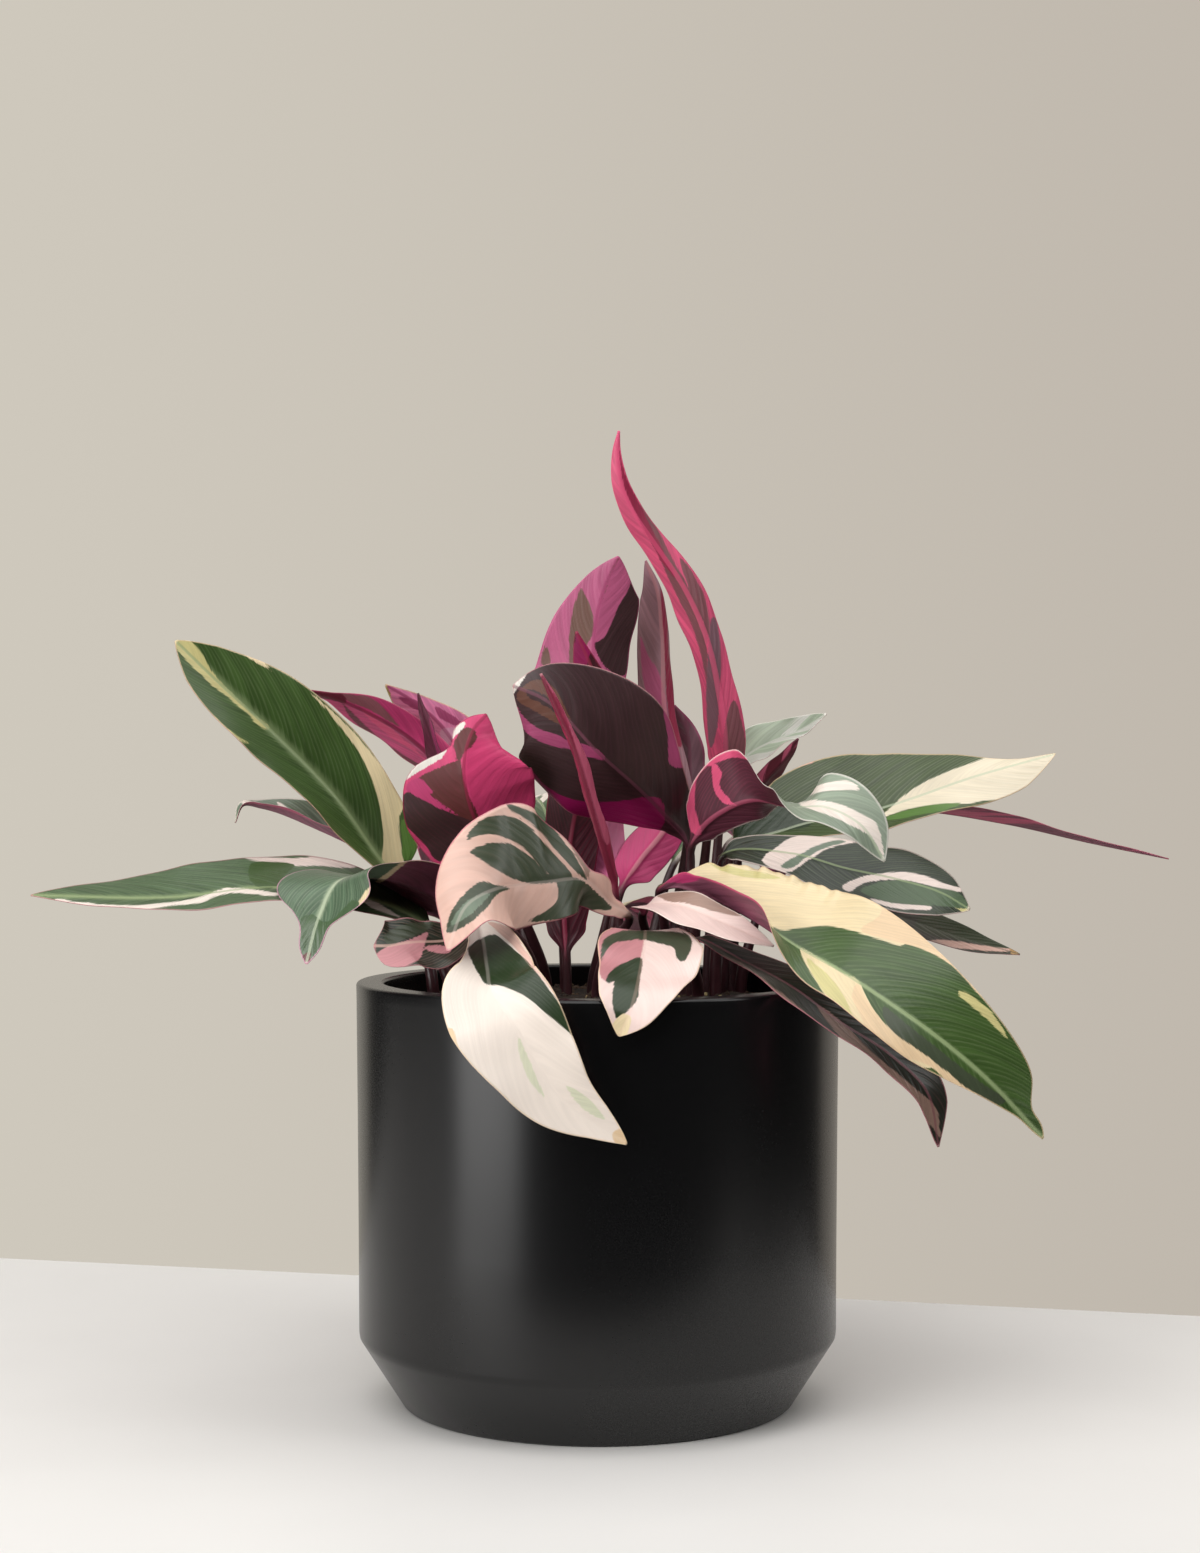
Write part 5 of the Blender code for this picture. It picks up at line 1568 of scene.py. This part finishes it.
def table_finish():
    """Off-white painted table top."""
    finish = Finish("off_white_table")
    place = finish.add("ShaderNodeTexCoord", output="Object")
    mottle = finish.noise(place, 5.0, 3.0)
    white = finish.blend(mottle.step(-0.6, 0.6), tint(232, 230, 227), tint(238, 236, 233))
    finish.spread({"Base Color": white, "Roughness": 0.6})
    return finish.material


def make_stage():
    """A pale table top with its back edge as photographed, and a plain backdrop well behind."""
    corners = [(TABLE_BACK_LEFT[0], TABLE_FRONT), (TABLE_BACK_RIGHT[0], TABLE_FRONT)]
    corners += [TABLE_BACK_RIGHT, TABLE_BACK_LEFT]
    points = [(x, y, 0.0) for x, y in corners] + [(x, y, -TABLE_THICKNESS) for x, y in corners]
    faces = [(0, 1, 2, 3), (7, 6, 5, 4), (0, 4, 5, 1), (1, 5, 6, 2), (2, 6, 7, 3), (3, 7, 4, 0)]
    stage_piece("table_top", points, faces, table_finish())
    left, right = WALL_SIDES
    low, high = WALL_HEIGHTS
    wall = [(x, WALL_DEPTH, z) for x, z in ((left, low), (right, low), (right, high), (left, high))]
    stage_piece("backdrop", wall, [(0, 1, 2, 3)], wall_finish())


def add_light(name, place, width, height, power):
    """A soft rectangular light that points at the plant."""
    data = bpy.data.lights.new(name, "AREA")
    data.shape = "RECTANGLE"
    data.size = width
    data.size_y = height
    data.energy = power
    data.color = LAMP_COLOUR
    light = bpy.data.objects.new(name, data)
    light.location = place
    light.rotation_euler = (Vector(LAMP_AIM) - Vector(place)).to_track_quat("-Z", "Y").to_euler()
    light.visible_camera = False
    bpy.context.scene.collection.objects.link(light)


def make_lights():
    """Soft studio light: a window on the left, a fill in front, a wide panel above, a small lamp right."""
    for name, (place, width, height, power) in LAMPS.items():
        add_light(name, place, width, height, power)
    world = bpy.data.worlds.new("studio_air")
    world.use_nodes = True
    tree = world.node_tree
    seen = tree.nodes["Background"]
    seen.inputs["Color"].default_value = tint(200, 192, 181)
    unseen = tree.nodes.new("ShaderNodeBackground")
    unseen.inputs["Color"].default_value = tint(240, 238, 235)
    unseen.inputs["Strength"].default_value = AIR_GLOW
    path = tree.nodes.new("ShaderNodeLightPath")
    choice = tree.nodes.new("ShaderNodeMixShader")
    tree.links.new(path.outputs["Is Camera Ray"], choice.inputs[0])
    tree.links.new(unseen.outputs[0], choice.inputs[1])
    tree.links.new(seen.outputs[0], choice.inputs[2])
    tree.links.new(choice.outputs[0], tree.nodes["World Output"].inputs["Surface"])
    bpy.context.scene.world = world


def make_camera():
    """The photograph's view: level, in front of the pot."""
    data = bpy.data.cameras.new("photo_view")
    data.sensor_width = SENSOR
    data.sensor_fit = "VERTICAL"
    data.sensor_height = SENSOR
    data.lens = FOCAL_PX * SENSOR / PHOTO_HEIGHT
    camera = bpy.data.objects.new("photo_view", data)
    camera.location = Vector(CAMERA_AT) * MM
    camera.rotation_euler = (math.pi / 2, 0.0, 0.0)
    bpy.context.scene.collection.objects.link(camera)
    bpy.context.scene.camera = camera


make_camera()
make_stage()
make_lights()
make_pot()
soil_bed = make_soil()
brown_crumb = crumb_finish("soil_crumb", (30, 22, 18), (84, 64, 46))
scatter_crumbs("soil_crumbs", soil_bed, 42000.0, 0.5, 1.7, 3, brown_crumb)
pale_crumb = crumb_finish("pale_grit", (150, 128, 84), (206, 188, 140))
scatter_crumbs("pale_grit", soil_bed, 2600.0, 0.5, 1.5, 11, pale_crumb)
for number, (leaf_name, leaf_shape) in enumerate(LEAVES.items()):
    make_leaf(leaf_name, leaf_shape, float(number))

bpy.context.scene.view_settings.view_transform = "Standard"
